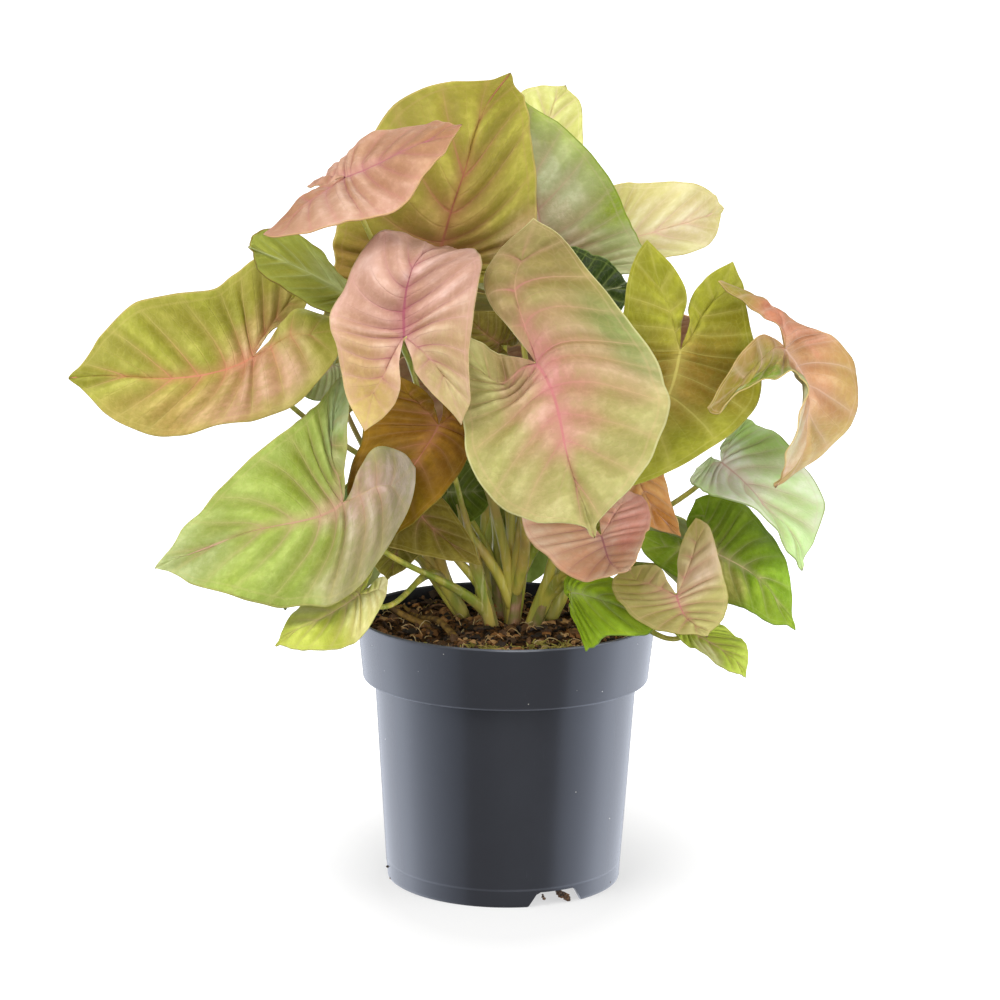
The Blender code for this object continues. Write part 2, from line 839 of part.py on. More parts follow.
def tube(name, points, radii, sides_level, collection):
    curve = bpy.data.curves.new(name, "CURVE")
    curve.dimensions = "3D"
    curve.bevel_depth = MM
    curve.bevel_resolution = sides_level
    curve.use_fill_caps = True
    spline = curve.splines.new("POLY")
    spline.points.add(len(points) - 1)
    for point, place, radius in zip(spline.points, points, radii):
        point.co = (*metres(place), 1.0)
        point.radius = radius
    obj = bpy.data.objects.new(name, curve)
    collection.objects.link(obj)
    return as_mesh(obj, name + "_mesh", collection)


def bend(start, leaving, end, arriving, via):
    """Points of one smooth arc, drawn through the point via where there is one."""
    reach = np.linalg.norm(end - start) * PETIOLE_ARC
    first = start + leaving * reach
    second = end - arriving * reach
    if via is not None:
        middle = (start + 3 * first + 3 * second + end) / 8
        first = first + (np.array(via, float) - middle) * 4 / 3
        second = second + (np.array(via, float) - middle) * 4 / 3
    points = []
    for number in range(PETIOLE_POINTS):
        t = number / (PETIOLE_POINTS - 1)
        points.append(
            (1 - t) ** 3 * start
            + 3 * t * (1 - t) ** 2 * first
            + 3 * t**2 * (1 - t) * second
            + t**3 * end
        )
    return points


def unit(vector):
    return vector / np.linalg.norm(vector)


def petiole_route(leaf, start, stem_way):
    """From the shoot's stem to just under the blade, which it meets from its lower face."""
    sheet = sheet_through(leaf)
    joint = np.array(leaf["joint"], float)
    normal = upper_normal(sheet, 0.0, 0.0)
    straight = unit(joint - start)
    leaving = unit(stem_way + LEAVING_PULL * straight)
    arriving = unit(normal + ARRIVING_PULL * straight)
    slant = math.sqrt(max(0.0, 1.0 - float(arriving @ normal) ** 2))
    end = joint - normal * (BLADE / 2 + GAP + PETIOLE_TOP * slant)
    return bend(start, leaving, end, arriving, leaf.get("via"))


def make_shoot(number, shoot, leaves, parts):
    """One stem with the petioles of all its leaves, grown together."""
    ground = soil_height(*shoot["at"])
    base = np.array((*shoot["at"], ground))
    lean = np.array((*shoot["lean"], 1.0))
    name = f"shoot_{number + 1}"
    stem_points = [
        base - (0.0, 0.0, HOLE_DEPTH - GAP),
        base + (0.0, 0.0, 0.5),
        base + lean * SHOOT_TOP / 2,
        base + lean * SHOOT_TOP,
    ]
    thick = shoot["radius"]
    stem_radii = (thick, thick, thick * (1 + STEM_TAPER) / 2, thick * STEM_TAPER)
    stem = tube(name + "_stem", stem_points, stem_radii, 2, parts)
    petioles = cutter_collection(name + "_petioles")
    shares = np.linspace(LOWEST_PETIOLE, HIGHEST_PETIOLE, len(leaves))
    for place, (leaf, share) in enumerate(zip(leaves, shares)):
        start = base + lean * SHOOT_TOP * share
        route = petiole_route(leaf, start, unit(lean))
        radii = np.linspace(PETIOLE_FOOT, PETIOLE_TOP, len(route))
        helper(tube(f"{name}_petiole_{place}", route, radii, 1, petioles), petioles)
    union = stem.modifiers.new("Grow together", "BOOLEAN")
    union.operation = "UNION"
    union.operand_type = "COLLECTION"
    union.collection = petioles
    grown = as_mesh(stem, name, parts)
    for obj in list(petioles.objects):
        bpy.data.objects.remove(obj)
    bpy.data.collections.remove(petioles)
    grown.data.shade_smooth()
    paint(grown, name + "_green", STEM_GREEN, 0.45)


def main():
    for obj in list(bpy.data.objects):
        bpy.data.objects.remove(obj)
    parts = bpy.data.collections.new("arrowhead_plant")
    bpy.context.scene.collection.children.link(parts)
    make_pot(parts)
    make_soil(parts)
    for name, rule in REAR_LEAVES.items():
        LEAVES[name] = outward_leaf(*rule)
    for name, leaf in LEAVES.items():
        make_blade("blade_" + name, leaf, parts)
    for number, shoot in SHOOTS.items():
        own = [leaf for leaf in LEAVES.values() if leaf["shoot"] == number]
        make_shoot(number, shoot, own, parts)


main()
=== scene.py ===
import math
import random

import bmesh
import bpy
import numpy as np
from mathutils import Matrix, Vector, noise


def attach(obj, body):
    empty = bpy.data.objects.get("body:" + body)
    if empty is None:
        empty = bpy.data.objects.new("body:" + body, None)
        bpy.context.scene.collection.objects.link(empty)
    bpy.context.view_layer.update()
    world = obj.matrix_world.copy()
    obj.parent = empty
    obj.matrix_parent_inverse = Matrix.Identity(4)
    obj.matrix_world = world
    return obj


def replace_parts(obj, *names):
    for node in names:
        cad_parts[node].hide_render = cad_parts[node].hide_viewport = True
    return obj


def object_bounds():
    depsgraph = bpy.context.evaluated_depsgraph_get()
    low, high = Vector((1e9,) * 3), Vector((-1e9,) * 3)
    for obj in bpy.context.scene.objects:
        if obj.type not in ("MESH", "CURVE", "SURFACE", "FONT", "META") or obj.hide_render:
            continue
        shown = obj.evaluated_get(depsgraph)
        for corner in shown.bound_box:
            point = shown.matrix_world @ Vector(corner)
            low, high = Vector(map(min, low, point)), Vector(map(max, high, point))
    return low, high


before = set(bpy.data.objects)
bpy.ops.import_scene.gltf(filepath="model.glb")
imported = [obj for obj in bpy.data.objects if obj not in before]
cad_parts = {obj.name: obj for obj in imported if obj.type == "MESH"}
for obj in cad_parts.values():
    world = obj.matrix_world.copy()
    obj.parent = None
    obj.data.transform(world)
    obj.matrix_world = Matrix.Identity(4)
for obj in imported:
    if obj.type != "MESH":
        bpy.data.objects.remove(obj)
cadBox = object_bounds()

print("frame loaded:", len(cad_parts), "nodes")

mm = 0.001
white = (1.0, 1.0, 1.0, 1.0)
scene = bpy.context.scene


# small helpers that every piece uses
def linear(hexColour):
    value = hexColour.lstrip("#")
    shares = [int(value[i : i + 2], 16) / 255 for i in (0, 2, 4)]
    return (*[s / 12.92 if s <= 0.04045 else ((s + 0.055) / 1.055) ** 2.4 for s in shares], 1.0)


# inputs by name or number: a socket is linked and a value is set. Gives back the output for the next node
def addNode(tree, kind, inputs=None, result=0, **settings):
    node = tree.nodes.new("ShaderNode" + kind)
    for name, value in settings.items():
        setattr(node, name, value)
    for key, value in (inputs or {}).items():
        if isinstance(value, bpy.types.NodeSocket):
            tree.links.new(value, node.inputs[key])
        else:
            node.inputs[key].default_value = value
    return node.outputs[result] if len(node.outputs) else node


def startMaterial(name):
    material = bpy.data.materials.new(name)
    material.use_nodes = True
    material.node_tree.nodes.clear()
    return material, material.node_tree


def endMaterial(tree, shader):
    addNode(tree, "OutputMaterial", {"Surface": shader})


# each tint over the last: the mask's values where it starts and ends, how much it covers there, and its blend
def painted(tree, colour, layers):
    for mask, low, high, most, tint, *blend in layers:
        share = addNode(tree, "MapRange", {0: mask, 1: low, 2: high, 4: most})
        colour = addNode(tree, "Mix", {0: share, 6: colour, 7: tint}, 2, data_type="RGBA",
                         blend_type=blend[0] if blend else "MIX")
    return colour


def newObject(name, work, materials):
    mesh = bpy.data.meshes.new(name)
    work.to_mesh(mesh)
    work.free()
    obj = bpy.data.objects.new(name, mesh)
    scene.collection.objects.link(obj)
    for material in materials:
        mesh.materials.append(material)
    mesh.shade_smooth()
    return obj


def turned(profile, steps, scale=mm):  # a profile of radius and height, turned round the pot's axis
    work = bmesh.new()
    corners = [work.verts.new((radius * scale, 0.0, height * scale)) for radius, height in profile]
    edges = [work.edges.new(pair) for pair in zip(corners, corners[1:])]
    bmesh.ops.spin(work, geom=corners + edges, cent=(0, 0, 0), axis=(0, 0, 1), angle=math.tau, steps=steps,
                   use_merge=True)
    bmesh.ops.remove_doubles(work, verts=work.verts, dist=0.005 * mm)
    bmesh.ops.recalc_face_normals(work, faces=work.faces)
    return work


# camera: 123 mm lens a little above the rim, as the photo shows the pot's ellipses
cameraSet = dict(distance=1.334, height=0.424, lens=122.65, pitch=0.1991, roll=0.0125, yaw=-0.0023,
                 sensor=36.0, farthest=20.0)


def makeCamera():
    data = bpy.data.cameras.new("studioCamera")
    data.sensor_width = cameraSet["sensor"]
    data.lens = cameraSet["lens"]
    data.clip_end = cameraSet["farthest"]
    camera = bpy.data.objects.new("studioCamera", data)
    scene.collection.objects.link(camera)
    place = Matrix.Translation((0.0, -cameraSet["distance"], cameraSet["height"]))
    turn = Matrix.Rotation(-cameraSet["yaw"], 4, "Z")
    tilt = Matrix.Rotation(math.pi / 2 - cameraSet["pitch"], 4, "X")
    camera.matrix_world = place @ turn @ tilt @ Matrix.Rotation(cameraSet["roll"], 4, "Z")
    scene.camera = camera


# studio, in metres: a white bowl of paper round the pot, and soft boxes with name, place, size and watts
studio = dict(
    floor="#9C9C9C", reach=3.2, bend=1.2, wallTop=3.4, segments=96, world=0.34,
    # glow is the paper's own light by the pot and far from it, dimmer by the pot as a painted shadow; the next
    # two give over what reach it rises and how much that reach is squeezed front to back
    glow=(0.58, 1.25), paintedShadowReach=(0.05, 0.17), paintedShadowDepth=0.6, aim=(0.0, 0.0, 0.16),
    lamps=(
        ("keySoftbox", (-0.62, -0.80, 1.25), (0.9, 0.9), 15.0),
        ("frontFill", (0.30, -1.9, 0.28), (1.1, 1.1), 20.0),
        ("leftSoftbox", (-1.25, -0.30, 0.75), (1.2, 1.2), 7.0),
        ("rightSoftbox", (1.20, -0.55, 0.55), (1.2, 1.2), 12.0),
        ("backSoftbox", (0.1, 1.2, 1.3), (1.4, 1.0), 8.0),
    ),
)
# cards, bright at both sides where the satin pot mirrors them: their light rises over one run from front to
# back and falls over another, as shares of how far away they stand
cards = dict(away=1.2, deep=1.3, segments=24, tint="#ECF2FF", dim=0.8, bright=4.0, behind=1.7,
             rise=(-0.82, 0.17), fall=(0.25, 0.95), left=(-35.0, -165.0), right=(50.0, 165.0))


def whitePaper():  # matte paper that glows by itself so that it stays white, and whose glow is dimmer by the pot: a painted shadow
    paper, tree = startMaterial("whiteSeamlessPaper")
    place = addNode(tree, "TexCoord", result="Object")
    # painted shadow: the glow rises with the distance from the pot, which counts less front to back
    flat = addNode(tree, "Mapping", {0: place, 3: (1.0, studio["paintedShadowDepth"], 1.0)})
    away = addNode(tree, "VectorMath", {0: flat}, "Value", operation="LENGTH")
    near, far = studio["paintedShadowReach"]
    glow = addNode(tree, "MapRange", {0: away, 1: near, 2: far, 3: studio["glow"][0], 4: studio["glow"][1]})
    shader = addNode(tree, "BsdfPrincipled", {
        "Base Color": linear(studio["floor"]), "Roughness": 0.9, "Specular IOR Level": 0.0,
        "Emission Color": white, "Emission Strength": glow,
    })
    endMaterial(tree, shader)
    return paper


def makeBackdrop():
    reach, bend = studio["reach"], studio["bend"]
    profile = [(0.0, 0.0), (reach - bend, 0.0)]
    for turn in np.linspace(0.1, math.pi / 2, 16):
        profile.append((reach - bend * (1 - math.sin(turn)), bend * (1 - math.cos(turn))))
    profile.append((reach, studio["wallTop"]))
    floor = newObject("paperSweep", turned(profile, studio["segments"], 1.0), [whitePaper()])
    floor.visible_glossy = False  # the pot mirrors the cards and not the paper
    floor.visible_diffuse = False  # the paper's white doesn't wash out the shade between the leaves


def makeLights():
    world = bpy.data.worlds.new("studioWorld")
    world.use_nodes = True
    scene.world = world
    sky = world.node_tree.nodes["Background"]
    sky.inputs["Color"].default_value = white
    sky.inputs["Strength"].default_value = studio["world"]
    for name, place, size, power in studio["lamps"]:
        data = bpy.data.lights.new(name, "AREA")
        data.shape = "RECTANGLE"
        data.size, data.size_y = size
        data.energy = power
        lamp = bpy.data.objects.new(name, data)
        lamp.location = place
        aim = Vector(studio["aim"]) - Vector(place)
        lamp.rotation_euler = aim.to_track_quat("-Z", "Y").to_euler()
        lamp.visible_camera = False
        scene.collection.objects.link(lamp)
    scene.view_settings.view_transform = "Standard"


def makeCard(name, start, end):  # white card bent round the pot between two bearings, for its gloss alone
    card, tree = startMaterial(name)
    place = addNode(tree, "TexCoord", result="Object")
    back = addNode(tree, "SeparateXYZ", {0: place}, "Y")
    away = cards["away"]
    low, high = (share * away for share in cards["rise"])
    rising = addNode(tree, "MapRange", {0: back, 1: low, 2: high, 3: cards["dim"], 4: cards["bright"]})
    low, high = (share * away for share in cards["fall"])
    falling = addNode(tree, "MapRange", {0: back, 1: low, 2: high, 3: cards["bright"], 4: cards["behind"]})
    strength = addNode(tree, "Math", {0: rising, 1: falling}, operation="MINIMUM")
    endMaterial(tree, addNode(tree, "Emission", {0: linear(cards["tint"]), 1: strength}))
    card.cycles.emission_sampling = "NONE"
    work = bmesh.new()
    edge = work.edges.new((work.verts.new((0.0, -away, -cards["deep"])), work.verts.new((0.0, -away, 0.0))))
    bmesh.ops.transform(work, matrix=Matrix.Rotation(math.radians(start), 4, "Z"), verts=work.verts)
    bmesh.ops.spin(work, geom=list(work.verts) + [edge], cent=(0, 0, 0), axis=(0, 0, 1),
                   angle=math.radians(end - start), steps=cards["segments"])
    piece = newObject(name, work, [card])
    piece.visible_camera = piece.visible_diffuse = piece.visible_transmission = piece.visible_shadow = False


makeCamera()
makeBackdrop()
makeLights()
makeCard("leftCard", *cards["left"])
makeCard("rightCard", *cards["right"])
print("camera and studio ready")


# leaves: flat pattern of half a blade, vein by vein from its rib to the margin, as shares of its length
leafPattern = dict(
    ribs=((0, 0), (0.08, -0.10), (0.15, -0.19), (0.22, -0.27), (0.22, -0.27), (0.22, -0.27), (0.15, -0.19),
          (0.08, -0.10), (0, 0), (0, 0.05), (0, 0.15), (0, 0.29), (0, 0.46), (0, 0.68), (0, 1.0)),
    margins=((0, 0), (0.035, -0.15), (0.05, -0.27), (0.13, -0.37), (0.26, -0.41), (0.38, -0.35),
             (0.45, -0.22), (0.49, -0.08), (0.50, 0.06), (0.48, 0.20), (0.43, 0.40), (0.33, 0.60),
             (0.21, 0.78), (0.09, 0.92), (0, 1.0)),
    across=(0.0, 0.02, 0.05, 0.1, 0.17, 0.25, 0.34, 0.44, 0.54, 0.64, 0.74, 0.83, 0.91, 0.97, 1.0),
    columns=8,  # columns of faces from one side vein to the next
    lobeRow=4,  # the row that runs to the lobe's end
    hipRow=8,  # the row across the joint, where the ribs of lobe and blade part
    stray=0.24,  # how far a side vein strays from its even place, as a share of the step between two
    bow=0.10,  # how far a side vein sags towards the joint before it turns forward
    veinPower=(0.30, 0.85),  # the faintest and the strongest side vein
    lobePowers=(0.4, 0.1, 0.4),  # what is left of the veins that meet at a lobe's end
    thickness=0.5,
)
# how a blade grows unless its own entry says otherwise. Reliefs are in mm on a blade 100 mm long
leafHabit = dict(
    wave=0.016, waveStep=1.9,  # long waves of the margin, as a share of the length, and their step in rows
    nibble=0.022,  # unevenness of the margin
    full=0.0, drip=0.38, cusp=0.035,  # fuller shoulders, narrower drip tip, pointed lobes
    quilt=2.4, crease=0.12, groove=0.35, uneven=2.8, small=0.6, frill=1.6,
)
# where the named landmarks lie on that pattern
leafMarks = dict(
    joint=(0.0, 0.0), tip=(0.0, 1.0), right=(0.48, 0.20), left=(-0.48, 0.20),
    shoulderRight=(0.33, 0.60), shoulderLeft=(-0.33, 0.60), lobeRight=(0.26, -0.41), lobeLeft=(-0.26, -0.41),
    hipRight=(0.49, -0.08), hipLeft=(-0.49, -0.08), notchRight=(0.05, -0.27), notchLeft=(-0.05, -0.27),
    rib=(0.0, 0.5),
)
# where each leaf of the front hangs, landmark by landmark, in mm. Its zones are patches of other colour: their
# place across and along the pattern, how wide, the colour and how strong
leaves = dict(
    leftLong=dict(shoot=1, finish="olive", joint=(-99, -35, 217), tip=(-169, -48, 210),
        right=(-114, -20, 242), left=(-112, -54, 193), shoulderRight=(-144, -34, 237),
        shoulderLeft=(-140, -54, 190), lobeRight=(-79, 4, 239), lobeLeft=(-65, -30, 228),
        rib=(-133, -47, 210), hipRight=(-98, -6, 252), hipLeft=(-85, -48, 199), notchRight=(-86, -14, 229),
        notchLeft=(-83, -22, 232), via=(-48, -12, 168), look=dict(vein="#D98E72"),
        zones=((-0.3, 0.35, 0.3, "#C9A764", 0.85), (-0.28, 0.02, 0.26, "#D0A284", 0.95),
        (0, 0.05, 0.16, "#CC957A", 0.8), (0.12, -0.16, 0.14, "#C79A78", 0.6),
        (0.3, -0.15, 0.22, "#98882E", 0.5), (-0.3, 0.7, 0.2, "#BDAE5E", 0.6))),
    upperLeftRose=dict(shoot=1, finish="rose", joint=(-63, -50, 288), tip=(-19, -62, 310),
        right=(-47, -84, 278), left=(-57, -30, 300), shoulderRight=(-32, -80, 291),
        shoulderLeft=(-38, -46, 308), lobeRight=(-90, -78, 271), lobeLeft=(-74, -28, 285),
        rib=(-41, -66, 300), hipRight=(-63, -84, 275), hipLeft=(-66, -28, 292), notchRight=(-79, -58, 282),
        look=dict(base="#CA9D86", patch="#BB8E6D", under="#C4A37F"), zones=((0, 0.85, 0.4, "#B88C67", 0.8),
        (0.35, -0.1, 0.22, "#D4B09A", 0.6), (-0.3, 0.4, 0.3, "#BB8E6F", 0.6))),
    upperLeftUnder=dict(shoot=3, finish="green", joint=(-63, -22, 240), tip=(-99, -54, 262),
        right=(-80, -42, 241), left=(-77, -34, 262), shoulderRight=(-93, -50, 250),
        shoulderLeft=(-93, -46, 268), lobeRight=(-56, -14, 229), lobeLeft=(-57, -10, 242),
        hipLeft=(-69, -18, 248), look=dict(base="#A0AA42", patch="#829139", under="#ABB24E", vein="#CAD290",
        farVein="#BCC678", edge="#8F6D39"), zones=((-0.2, 0, 0.22, "#CFDDA0", 0.9),
        (0, 0.9, 0.4, "#B6BB52", 0.8))),
    topTall=dict(shoot=1, finish="olive", joint=(-29, 2, 250), tip=(-1, 12, 324), right=(10, 4, 271),
        left=(-69, -4, 264), shoulderRight=(6, 8, 304), shoulderLeft=(-47, 8, 311), lobeRight=(-4, -2, 243),
        lobeLeft=(-65, -4, 237), rib=(-18, -2, 288), hipRight=(8, 0, 253), hipLeft=(-69, -6, 250),
        via=(-9, 16, 193), look=dict(base="#AAA143", patch="#959034", under="#B1AE64", vein="#AC6552",
        farVein="#BA9560"), zones=((0, 0.08, 0.2, "#A27448", 0.9), (0.06, 0.34, 0.2, "#9E8345", 0.6),
        (0.42, 0, 0.2, "#C5A87B", 0.9), (-0.42, -0.05, 0.24, "#906A34", 0.8),
        (-0.1, 0.22, 0.18, "#A4834C", 0.5))),
    frontRose=dict(shoot=1, finish="rose", joint=(-39, -90, 234), tip=(-23, -32, 259), right=(-12, -74, 252),
        left=(-66, -84, 242), shoulderRight=(-13, -56, 262), shoulderLeft=(-47, -64, 269),
        lobeRight=(-19, -102, 209), lobeLeft=(-52, -104, 205), rib=(-35, -86, 261), hipRight=(-15, -96, 230),
        hipLeft=(-64, -92, 231), notchRight=(-34, -100, 222), notchLeft=(-40, -102, 217), via=(-2, -42, 180),
        uneven=3.4, cusp=0.07, look=dict(base="#DBB3A4", patch="#CDA18B", under="#D1B99D", vein="#AC5A6D",
        farVein="#E1B3A9", edge="#D4C188"), zones=((-0.26, -0.36, 0.26, "#C8B165", 0.95),
        (-0.42, -0.05, 0.2, "#D3B086", 0.7), (0.24, -0.36, 0.26, "#BDAD74", 0.95),
        (0.38, -0.1, 0.2, "#C2AB82", 0.6), (0, 0.05, 0.16, "#C28E86", 0.6))),
    frontHeart=dict(shoot=1, finish="roseOlive", joint=(10, -80, 223), tip=(32, -118, 165),
        right=(-17, -94, 202), left=(57, -80, 220), shoulderRight=(-3, -110, 179),
        shoulderLeft=(52, -95, 197), lobeRight=(-17, -80, 230), lobeLeft=(7, -60, 270), rib=(21, -108, 196),
        hipRight=(-16, -86, 214), hipLeft=(42, -68, 240), notchRight=(-4, -76, 226),
        notchLeft=(-9, -68, 247), full=0.18, drip=0.8, cusp=0.07, quilt=3, uneven=3.2,
        look=dict(base="#BCB376", patch="#A8A460", under="#C3BD8A", edge="#DDDA9C"),
        zones=((-0.12, -0.26, 0.22, "#987E56", 0.9), (-0.36, -0.22, 0.24, "#9E9254", 0.8),
        (-0.3, 0.12, 0.2, "#CBA98A", 0.8), (-0.3, -0.38, 0.16, "#877848", 0.7),
        (0, 0.1, 0.2, "#D08E8A", 0.9), (0, 0.36, 0.18, "#D29C8E", 0.8), (-0.46, 0, 0.14, "#889858", 0.9),
        (-0.49, 0.2, 0.12, "#8C9C5C", 0.8), (0.1, -0.08, 0.16, "#A27E64", 0.6),
        (0.25, 0.1, 0.2, "#B7AE70", 0.4))),
    rightOlive=dict(shoot=1, finish="olive", joint=(65, -50, 224), tip=(34, -76, 170), right=(35, -50, 215),
        left=(97, -40, 209), shoulderRight=(25, -60, 191), shoulderLeft=(78, -57, 188),
        lobeRight=(53, -34, 261), lobeLeft=(84, -26, 252), hipRight=(42, -42, 232), hipLeft=(93, -32, 228),
        notchRight=(67, -38, 242), notchLeft=(69, -36, 241), via=(33, -17, 171), groove=0.1,
        look=dict(base="#A09F33", patch="#8D8E24", under="#ADAA50", vein="#CEC167", farVein="#D1C96D",
        edge="#BEB858"), zones=((0, 0.2, 0.24, "#9D7A36", 0.85), (-0.22, 0.12, 0.22, "#9D7F33", 0.7),
        (0.2, 0.2, 0.18, "#8E7824", 0.6))),
    rightDroop=dict(shoot=5, finish="orange", joint=(107, -24, 221), tip=(103, -50, 171),
        right=(111, -52, 215), left=(131, 8, 220), shoulderRight=(109, -60, 193),
        shoulderLeft=(138, -2, 191), lobeRight=(78, -66, 206), lobeLeft=(80, -50, 249), rib=(115, -40, 196),
        hipRight=(94, -60, 215), hipLeft=(116, -6, 227), notchRight=(94, -52, 230), notchLeft=(96, -40, 237),
        frill=2.8, look=dict(base="#E4AA88", patch="#DCA479", under="#D9E2BC", vein="#EDCCB5",
        farVein="#EDD7BB", glow="#E9AF76"), zones=((0.28, -0.3, 0.42, "#998C38", 1),
        (0.44, -0.02, 0.24, "#84A431", 1), (0.4, 0.24, 0.16, "#BBCA8F", 0.9),
        (0.28, 0.6, 0.2, "#DDE3C1", 0.9), (-0.28, -0.42, 0.34, "#A58845", 1),
        (-0.2, -0.3, 0.14, "#908A37", 0.8), (-0.1, -0.14, 0.16, "#CE7D63", 0.9),
        (-0.12, 0.75, 0.3, "#CFB967", 0.85), (-0.45, 0.35, 0.2, "#D5B667", 0.8),
        (-0.3, 0.05, 0.2, "#E6A68C", 0.8))),
    farRightPale=dict(shoot=4, finish="pale", joint=(39, 62, 250), tip=(89, 88, 263), right=(63, 66, 244),
        left=(59, 80, 274), shoulderRight=(82, 76, 249), shoulderLeft=(80, 90, 272), lobeRight=(28, 52, 241),
        lobeLeft=(32, 62, 266), via=(15, 40, 189), look=dict(base="#E3DDA6", patch="#D7D188",
        under="#E1E0AF"), zones=((0, 0.5, 0.3, "#EBDBC2", 0.7), (-0.3, 0.3, 0.25, "#DED58E", 0.6))),
    farTopPale=dict(shoot=5, finish="pale", joint=(12, 70, 271), tip=(22, 92, 313), right=(29, 82, 285),
        left=(-2, 76, 291), shoulderRight=(29, 90, 302), shoulderLeft=(3, 86, 310), lobeRight=(23, 64, 263),
        lobeLeft=(-1, 60, 270), via=(8, 41, 197), look=dict(base="#E0E295", patch="#D4D67A",
        under="#DEE59D")),
    greyTall=dict(shoot=2, finish="grey", joint=(15, 38, 247), tip=(2, 50, 312), right=(46, 38, 267),
        left=(-17, 50, 260), shoulderRight=(32, 46, 289), shoulderLeft=(-19, 52, 289),
        lobeRight=(49, 24, 244), lobeLeft=(-4, 44, 233), hipRight=(52, 30, 255), via=(26, 14, 194),
        look=dict(base="#B8B88A", patch="#9EA86E", under="#CBD4AE"),
        zones=((0.46, 0.22, 0.13, "#8BA328", 0.95), (0.42, 0.42, 0.12, "#8BA328", 0.95),
        (0.33, 0.6, 0.11, "#90A730", 0.95), (0.22, 0.76, 0.1, "#98AC36", 0.95),
        (0.1, 0.9, 0.1, "#98AC36", 0.9), (0, 0.08, 0.2, "#C7A592", 0.8), (0.1, 0.5, 0.3, "#BCBF99", 0.5))),
    darkNook=dict(shoot=4, finish="green", joint=(20, -22, 238), tip=(48, -6, 243), right=(35, -34, 229),
        left=(30, 6, 255), lobeRight=(14, -30, 228), lobeLeft=(15, 0, 248), look=dict(base="#2D4005",
        patch="#223302", under="#4F651B")),
    lowLeftGreen=dict(shoot=0, finish="lime", joint=(-63, -64, 166), tip=(-133, -76, 142),
        right=(-85, -46, 191), left=(-76, -88, 131), shoulderRight=(-112, -60, 167),
        shoulderLeft=(-104, -86, 134), lobeRight=(-62, -32, 206), lobeLeft=(-37, -56, 177),
        rib=(-96, -76, 157), hipRight=(-74, -38, 199), hipLeft=(-58, -84, 135), notchRight=(-63, -46, 184),
        notchLeft=(-52, -58, 185), via=(-37, -32, 134), look=dict(base="#A5B65B", patch="#94A643",
        under="#AFBD7B"), zones=((-0.26, -0.36, 0.26, "#BFB09F", 1), (-0.12, -0.12, 0.18, "#C1A196", 0.9),
        (-0.42, -0.05, 0.22, "#B8AC85", 0.8), (0.26, -0.38, 0.26, "#8E9F72", 0.9),
        (0, 0.95, 0.3, "#B6BF89", 0.7), (0, 0.1, 0.1, "#C19F87", 0.6))),
    amber=dict(shoot=0, finish="amber", joint=(-27, -46, 193), tip=(-47, -60, 150), right=(-57, -36, 185),
        left=(-15, -48, 182), shoulderRight=(-62, -44, 166), shoulderLeft=(-27, -56, 165),
        lobeRight=(-42, -26, 207), lobeLeft=(-17, -36, 203), look=dict(base="#966E18", patch="#795C08",
        under="#A48626"), zones=((0, 0.1, 0.22, "#A87626", 0.8), (-0.3, 0.2, 0.2, "#986919", 0.6),
        (0, 0.8, 0.3, "#8B7114", 0.8), (-0.3, -0.3, 0.2, "#AE7E2A", 0.7))),
    oliveTip=dict(shoot=0, finish="olive", joint=(-38, -24, 160), tip=(-10, -40, 137), right=(-51, -30, 144),
        left=(-27, -22, 161), lobeRight=(-49, -20, 156), lobeLeft=(-39, -12, 169), via=(-24, -12, 137),
        look=dict(base="#8E8034", patch="#7A6C24")),
    oliveShade=dict(shoot=3, finish="olive", joint=(-42, -8, 144), tip=(-47, -24, 127),
        right=(-55, -14, 137), left=(-31, -16, 140), lobeRight=(-52, -2, 148), lobeLeft=(-33, -2, 149),
        look=dict(base="#847C30", patch="#6E6820")),
    paleScrap=dict(shoot=3, finish="grey", joint=(-70, 2, 208), tip=(-83, -10, 198), right=(-81, 2, 210),
        left=(-71, -10, 197), lobeRight=(-70, 8, 215), lobeLeft=(-63, 6, 206), via=(-51, 11, 161),
        look=dict(base="#B4BC8C", patch="#9CAA64")),
    lowLeftSmall=dict(shoot=3, finish="lime", joint=(-56, -72, 132), tip=(-87, -86, 115),
        right=(-71, -58, 134), left=(-59, -92, 117), shoulderLeft=(-74, -92, 115), lobeRight=(-53, -54, 141),
        lobeLeft=(-46, -64, 135), via=(-38, -38, 126), look=dict(base="#C5CC58", patch="#ADB644",
        under="#E4ED8B", vein="#ECCCA5"), zones=((-0.3, 0, 0.25, "#EDE4A2", 0.8),
        (-0.25, -0.35, 0.22, "#F4E8B0", 0.9), (0.2, 0.5, 0.2, "#D5D982", 0.7))),
    lowRose=dict(shoot=2, finish="rose", joint=(36, -58, 153), tip=(46, -94, 148), right=(16, -68, 146),
        left=(53, -66, 156), shoulderRight=(30, -88, 142), shoulderLeft=(49, -84, 152),
        lobeRight=(11, -42, 162), lobeLeft=(45, -38, 166), via=(27, -26, 134), quilt=1.6,
        look=dict(base="#F6D8BB", patch="#F4BC9A", under="#F6F6D0"),
        zones=((0.1, -0.3, 0.25, "#E5A871", 0.7), (-0.3, -0.2, 0.25, "#F8B4A8", 0.9),
        (-0.3, 0.2, 0.22, "#F6A698", 0.9))),
    orangeTip=dict(shoot=2, finish="orange", joint=(50, -26, 173), tip=(67, -48, 151), right=(41, -36, 162),
        left=(61, -30, 171), shoulderLeft=(64, -42, 161), lobeRight=(41, -16, 177), lobeLeft=(55, -14, 181),
        look=dict(base="#F8BE80", patch="#E6A458", under="#F6F184")),
    lowRightPale=dict(shoot=5, finish="sage", joint=(84, -14, 174), tip=(115, -42, 137),
        right=(83, -38, 165), left=(112, 0, 178), shoulderRight=(104, -44, 154),
        shoulderLeft=(125, -12, 156), lobeRight=(74, -28, 174), lobeLeft=(92, 8, 185), rib=(101, -26, 159),
        hipLeft=(102, 6, 184), look=dict(base="#F0F6DD", patch="#CEEEA5", under="#F6F6F6"),
        zones=((-0.35, -0.2, 0.22, "#AAD762", 0.9), (-0.45, 0.1, 0.16, "#B5E174", 0.8),
